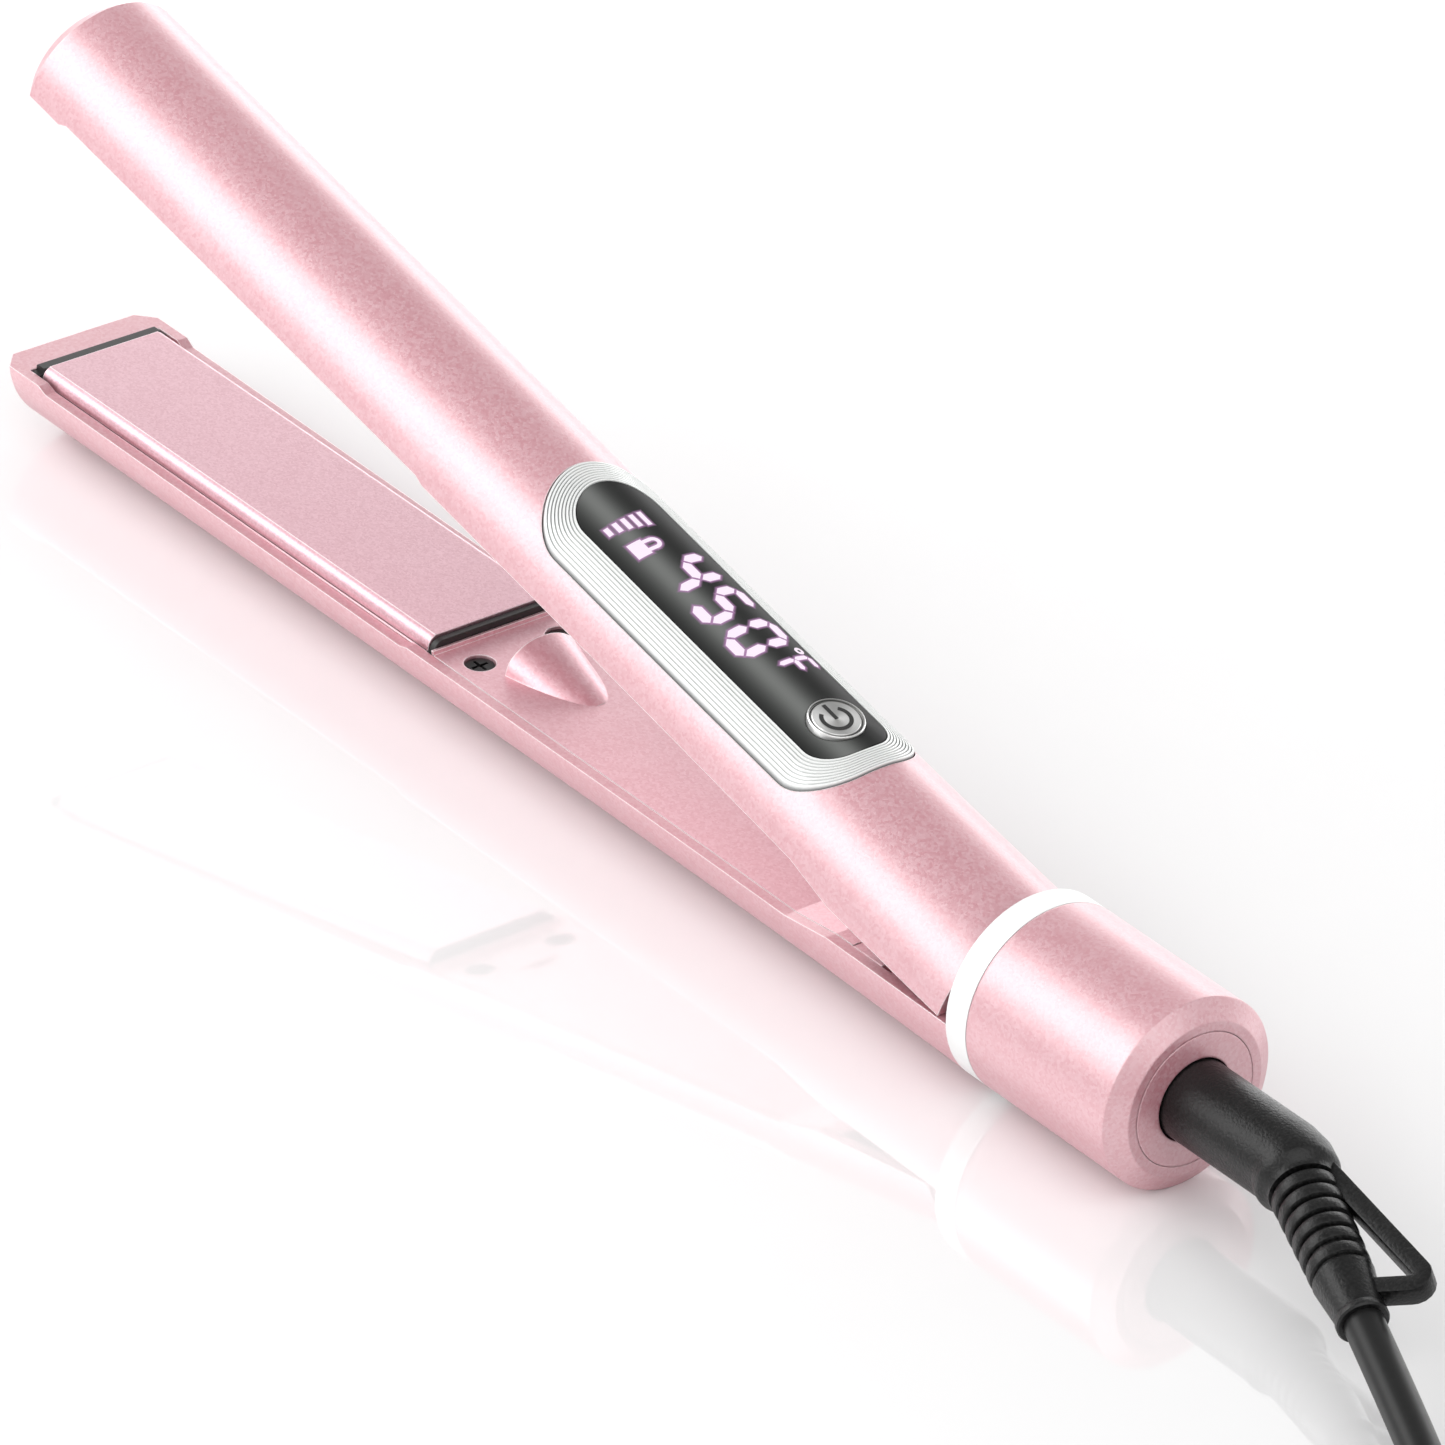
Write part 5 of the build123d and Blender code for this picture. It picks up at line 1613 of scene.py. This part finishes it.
@dataclass(frozen=True)
class BentLine:
    """Two straight runs in a plane with a rounded corner between them."""

    start: Point
    corner: Point
    end: Point
    radius: float

    def _runs(self) -> tuple[Vector, Vector, float]:
        """The two runs, and how far the second turns from the first, in radians."""
        first = Vector(self.corner) - Vector(self.start)
        second = Vector(self.end) - Vector(self.corner)
        return first, second, -first.angle_signed(second)

    def setback(self) -> float:
        """Length along a run from the corner to where its rounding begins."""
        return self.radius * math.tan(abs(self._runs()[2]) / 2)

    def length(self) -> float:
        """Length of the whole line."""
        first, second, turn = self._runs()
        return first.length + second.length - 2 * self.setback() + self.radius * abs(turn)

    def station(self, along: float) -> Matrix:
        """Stand on the line.

        Args:
            along: Length along it.

        Returns:
            Place and heading there, in the plane of X and Y.
        """
        first, second, turn = self._runs()
        straight = first.length - self.setback()
        heading = math.atan2(first.y, first.x)
        start = Matrix.Translation((*self.start, 0.0)) @ Matrix.Rotation(heading, 4, "Z")
        if along <= straight:
            return start @ Matrix.Translation((along, 0.0, 0.0))
        round_length = self.radius * abs(turn)
        turned = min((along - straight) / round_length, 1.0) * turn
        centre = Matrix.Translation((straight, math.copysign(self.radius, turn), 0.0))
        swing = centre @ Matrix.Rotation(turned, 4, "Z") @ centre.inverted()
        beyond = max(along - straight - round_length, 0.0)
        return start @ swing @ Matrix.Translation((straight + beyond, 0.0, 0.0))


@dataclass(frozen=True)
class StrainRelief:
    """Rubber moulding where the cord leaves: neck, elbow, ribs, collar and hanging loop.

    Attributes:
        root: Where the neck begins.
        elbow: Where it bends.
        direction: The way its leg points.
        leg: Length of the leg.
        shoulder: Where the leg's shoulder begins and ends.
        rib_radii: Radius of the first and the last rib.
        rib_shape: Place along a rib and drop below its top.
        groove_ends: Where the groove before a rib begins and ends.
        rib_end: Where a rib ends.
        collar_rise: Place along the collar's rise and drop below its top.
        bead_places: Where the bead begins, is full and ends, from the collar's end.
        loop_points: Start, corner and end of the hanging loop.
    """

    root: float
    elbow: Vector = field(default_factory=lambda: Vector((166.0, 0.0, 16.0)))
    direction: Vector = field(default_factory=lambda: Vector((0.913, -0.376, -0.16)).normalized())
    leg: float = 34.2
    neck: float = 6.65
    neck_steps: int = 14
    bend: float = 7.4
    facets: int = 56
    sharp: float = 34.0
    shoulder: Point = (2.6, 5.3)
    shoulder_radius: float = 5.3
    shoulder_steps: int = 6
    ribs: int = 6
    rib_first: float = 5.4
    pitch: float = 3.05
    rib_radii: Point = (5.25, 4.85)
    rib_shape: tuple[Point, ...] = (
        (0.6, 0.45), (0.78, 0.15), (1.1, 0.02), (1.75, 0.0), (2.4, 0.02), (2.74, 0.15), (2.92, 0.45)
    )
    groove_ends: Point = (0.05, 0.5)
    rib_end: float = 3.0
    groove_radius: float = 4.15
    collar_radii: Point = (4.8, 3.8)
    collar_rise: tuple[Point, ...] = ((0.6, 0.3), (1.0, 0.0))
    bead: float = 0.25
    bead_places: Place = (1.6, 1.2, 0.3)
    loop_points: tuple[Point, Point, Point] = ((-1.5, 3.6), (35.0, -3.0), (27.0, -9.8))
    loop_corner: float = 1.7
    loop_strip: float = 3.0
    loop_thickness: float = 3.5
    loop_edge: float = 0.35
    loop_round: float = 0.3
    loop_steps: int = 72

    def build(self) -> bpy.types.Object:
        """Build the moulding.

        Returns:
            The piece.
        """
        bm = bmesh.new()
        self._body(bm)
        self._loop(bm)
        bmesh.ops.recalc_face_normals(bm, faces=bm.faces)
        mesh = to_mesh(bm, "ribbed_relief", TO_METRES @ self._plane())
        piece = new_piece(mesh, FINISHES[Slot.BLACK_RUBBER], self.sharp)
        return attach(piece, Body.SWIVEL, Slot.BLACK_RUBBER, "strain_relief")

    def collar(self) -> Vector:
        """Where the cord leaves the collar."""
        return self.elbow + self.direction * self.leg

    def _plane(self) -> Matrix:
        """Lay out the plane in which the relief bends.

        Returns:
            Its matrix, with X along the neck and Y to the outer side.
        """
        ahead = Vector((1.0, 0.0, 0.0))
        outward = (ahead * self.direction.x - self.direction).normalized()
        turn = Matrix((ahead, outward, ahead.cross(outward))).transposed().to_4x4()
        return Matrix.Translation(self.elbow) @ turn

    def _profile(self) -> list[Point]:
        """Follow the leg from the shoulder to the collar's end.

        Returns:
            Place along the leg and radius of each ring.
        """
        points = []
        for i in range(self.shoulder_steps + 1):
            share = i / self.shoulder_steps
            ease = (1 - math.cos(math.pi * share)) / 2
            points.append((between(*self.shoulder, share), between(self.neck, self.shoulder_radius, ease)))
        for i in range(self.ribs):
            top = between(*self.rib_radii, i / (self.ribs - 1))
            rib = self.rib_first + i * self.pitch
            points += [(rib + along, self.groove_radius) for along in self.groove_ends]
            points += [(rib + along, top - drop) for along, drop in self.rib_shape]
            points.append((rib + self.rib_end, self.groove_radius))
        collar = self.rib_first + self.ribs * self.pitch
        first, last = self.collar_radii
        points.append((collar + self.groove_ends[1], self.groove_radius))
        points += [(collar + along, first - drop) for along, drop in self.collar_rise]
        radii = (last, last + self.bead, last + self.bead)
        points += [(self.leg - place, radius) for place, radius in zip(self.bead_places, radii)]
        return points + [(self.leg, last)]

    def _body(self, bm: BMesh) -> None:
        """Sweep neck, elbow, ribs and collar as one round.

        Args:
            bm: The bmesh that gets them.
        """
        across = self.direction.yz.length
        tip = (self.leg * self.direction.x, -self.leg * across)
        line = BentLine((self.root - self.elbow.x, 0.0), (0.0, 0.0), tip, self.bend)
        leg_start = line.length() - self.leg
        neck_end = leg_start + self.shoulder[0]
        widths = [(neck_end * i / self.neck_steps, self.neck) for i in range(self.neck_steps)]
        widths += [(leg_start + along, radius) for along, radius in self._profile()]
        section = arc((0.0, 0.0), 1.0, 0.0, FULL_TURN, self.facets)[:-1]
        stations = [
            line.station(along) @ Matrix.Diagonal((1.0, radius, radius, 1.0)) for along, radius in widths
        ]
        sweep(bm, section, stations)

    def _loop(self, bm: BMesh) -> None:
        """Sweep a flat strip from the elbow's outer side round a corner back to the collar.

        Args:
            bm: The bmesh that gets it.
        """
        line = BentLine(*self.loop_points, self.loop_corner)
        half, up, edge = self.loop_strip / 2, self.loop_thickness / 2, self.loop_edge
        cut = edge * self.loop_round
        quarter = [(half, up - edge), (half - cut, up - cut), (half - edge, up)]
        section = quarter + [(-y, z) for y, z in reversed(quarter)]
        section += [(-y, -z) for y, z in section]
        shares = [i / self.loop_steps for i in range(self.loop_steps + 1)]
        sweep(bm, section, [line.station(line.length() * share) for share in shares])


@dataclass
class MainsCord:
    """Free cord from the strain relief's collar to its tied hank and plug.

    Attributes:
        relief: The strain relief that it leaves.
        radius: Radius of the cord.
        length: Real length of the cord; not used.
        lead_run: Straight run out of the collar.
        lead_bend: Where the lead turns towards the hank.
        approach: From the lead's last turn to the hank.
        run: Length of the hank's runs.
        reach: Distance of the outermost runs from the hank's middle.
        draw: How far the tie draws a run in.
        layer_runs: Runs in one layer.
        rise: Height of a layer.
    """

    relief: StrainRelief
    radius: float = 3.1
    length: float = 1602.0
    bevel_steps: int = 6
    smooth_steps: int = 5
    spline_order: int = 3
    lead_run: float = 18.0
    lead_bend: Place = (231.6, -27.7, 4.85)
    approach: float = 22.5
    hank_centre: Point = (307.0, -10.79)
    hank_base: float = 4.3
    run: float = 72.0
    reach: float = 25.0
    draw: float = 12.0
    pitch: float = 8.5
    runs: int = 10
    layer_runs: int = 3
    rise: float = 6.8
    run_steps: int = 8
    fold_steps: int = 10
    tail_run: float = 44.0
    tail_side: float = 4.0
    tail_steps: int = 6
    plug_height: float = 35.6
    straight_end: float = 6.2

    def build(self, pieces_on_it: Sequence[bpy.types.Object]) -> None:
        """Args:
            pieces_on_it: Strain relief, tie and plug; not used.
        """
        collar = self.relief.collar()
        start = self._run(0)[0]
        route = [
            collar,
            collar + self.relief.direction * self.lead_run,
            Vector(self.lead_bend),
            start - Vector((self.approach, 0.0, 0.0)),
            start - Vector((self.straight_end, 0.0, 0.0)),
            *self._hank(),
            *self._tail(),
        ]
        curve = bpy.data.curves.new("mains_cord", "CURVE")
        curve.dimensions = "3D"
        curve.bevel_depth = self.radius * MM
        curve.bevel_resolution = self.bevel_steps
        curve.resolution_u = self.smooth_steps
        curve.use_fill_caps = True
        spline = curve.splines.new("NURBS")
        spline.points.add(len(route) - 1)
        for point, place in zip(spline.points, route):
            point.co = (*(place * MM), 1.0)
        spline.order_u = self.spline_order
        spline.use_endpoint_u = True
        spline.use_smooth = True
        curve.materials.append(CORD_JACKET.material())
        cord = bpy.data.objects.new("mains_cord", curve)
        bpy.context.scene.collection.objects.link(cord)
        attach(cord, Body.SWIVEL, Slot.BLACK_RUBBER, "cord_lead", "cord_hank")
        2 * self.radius * MM

    @staticmethod
    def _side(number: int) -> int:
        """Side of the hank on which a run lies, -1 or 1."""
        return -1 if number % 2 == 0 else 1

    def _level(self, number: int) -> float:
        """Height of a run's beginning."""
        return self.hank_base + self.rise * (number // self.layer_runs)

    def _reach(self, number: int) -> float:
        """Distance of a run's ends from the hank's middle: it steps in and out again by half a pitch."""
        inward = self.layer_runs - 1 - abs((number + 1) % (2 * self.layer_runs) - self.layer_runs)
        return self.reach - self.pitch * inward / 2

    def _run(self, number: int) -> list[Vector]:
        """Lay one run, drawn in at its waist, the last of each layer climbing to the next.

        Args:
            number: Number of the run.

        Returns:
            Its points.
        """
        side = self._side(number)
        points = []
        for i in range(self.run_steps + 1):
            share = i / self.run_steps
            drawn = self.draw * (1 - math.cos(FULL_TURN * share)) / 2
            x = self.hank_centre[0] + side * self.run * (0.5 - share)
            y = self.hank_centre[1] + side * (self._reach(number) - drawn)
            z = between(self._level(number), self._level(number + 1), eased(share))
            points.append(Vector((x, y, z)))
        return points

    def _fold(self, number: int) -> list[Vector]:
        """Go round the half circle after a run.

        Args:
            number: Number of the run.

        Returns:
            The fold's points.
        """
        side = self._side(number)
        here, there = self._reach(number), self._reach(number + 1)
        swell = 1 / math.cos(math.pi / self.fold_steps / 2)
        radius = (here + there) / 2 * swell
        points = []
        for i in range(1, self.fold_steps):
            angle = math.pi * i / self.fold_steps
            x = self.hank_centre[0] - side * (self.run / 2 + radius * math.sin(angle))
            y = self.hank_centre[1] + side * ((here - there) / 2 + radius * math.cos(angle))
            points.append(Vector((x, y, self._level(number + 1))))
        return points

    def _hank(self) -> list[Vector]:
        """Runs and folds of the hank, layer on layer."""
        return [point for number in range(self.runs) for point in self._run(number) + self._fold(number)]

    def _tail(self) -> list[Vector]:
        """Lay the short run in over the hank, rising to the plug.

        Returns:
            Its points.
        """
        start = self._run(self.runs)[0]
        end = Vector((start.x + self.tail_run, self.hank_centre[1] - self.tail_side, self.plug_height))
        points = [start]
        for i in range(1, self.tail_steps + 1):
            share = i / self.tail_steps
            points.append(Vector((start.x + self.tail_run * share, *start.yz.lerp(end.yz, eased(share)))))
        return points + [end + Vector((self.straight_end, 0.0, 0.0))]


@dataclass
class Straightener:
    """The whole appliance.

    Attributes:
        frame: What loading the frame returned.
    """

    frame: Mapping[str, Any]

    def build(self) -> None:
        """Dress every node, and build the pieces that stand for the visible ones."""
        nodes = self.frame["nodes"]
        self._dress_nodes(nodes)
        relief = StrainRelief(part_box("strain_relief")[0].x / MM)
        MainsCord(relief).build((relief.build(), *NodeSkins(nodes).build()))
        arm = UpperArmFrame.from_joint(self.frame["joints"])
        ArmFillers(arm, nodes).build()
        DisplayPanel(arm, nodes).build()

    @staticmethod
    def _dress_nodes(nodes: Mapping[str, bpy.types.Object]) -> None:
        """Give each node the finish of its material slot.

        Args:
            nodes: The frame's node objects.
        """
        for name, node in nodes.items():
            for held in node.material_slots:
                slot = Slot(held.material.name.split(".")[0])
                if name in SOFT_EDGED_NODES:
                    held.material = SOFT_ROSE.material()
                elif slot in FINISHES:
                    held.material = FINISHES[slot].material()


def main() -> None:
    """Load the frame, set the camera and the studio, and build the appliance."""
    logging.basicConfig(level=logging.INFO, format="%(name)s: %(message)s")
    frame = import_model()
    PhotoCamera().build()
    Straightener(frame).build()
    Studio().build()


if __name__ == "__main__":
    main()
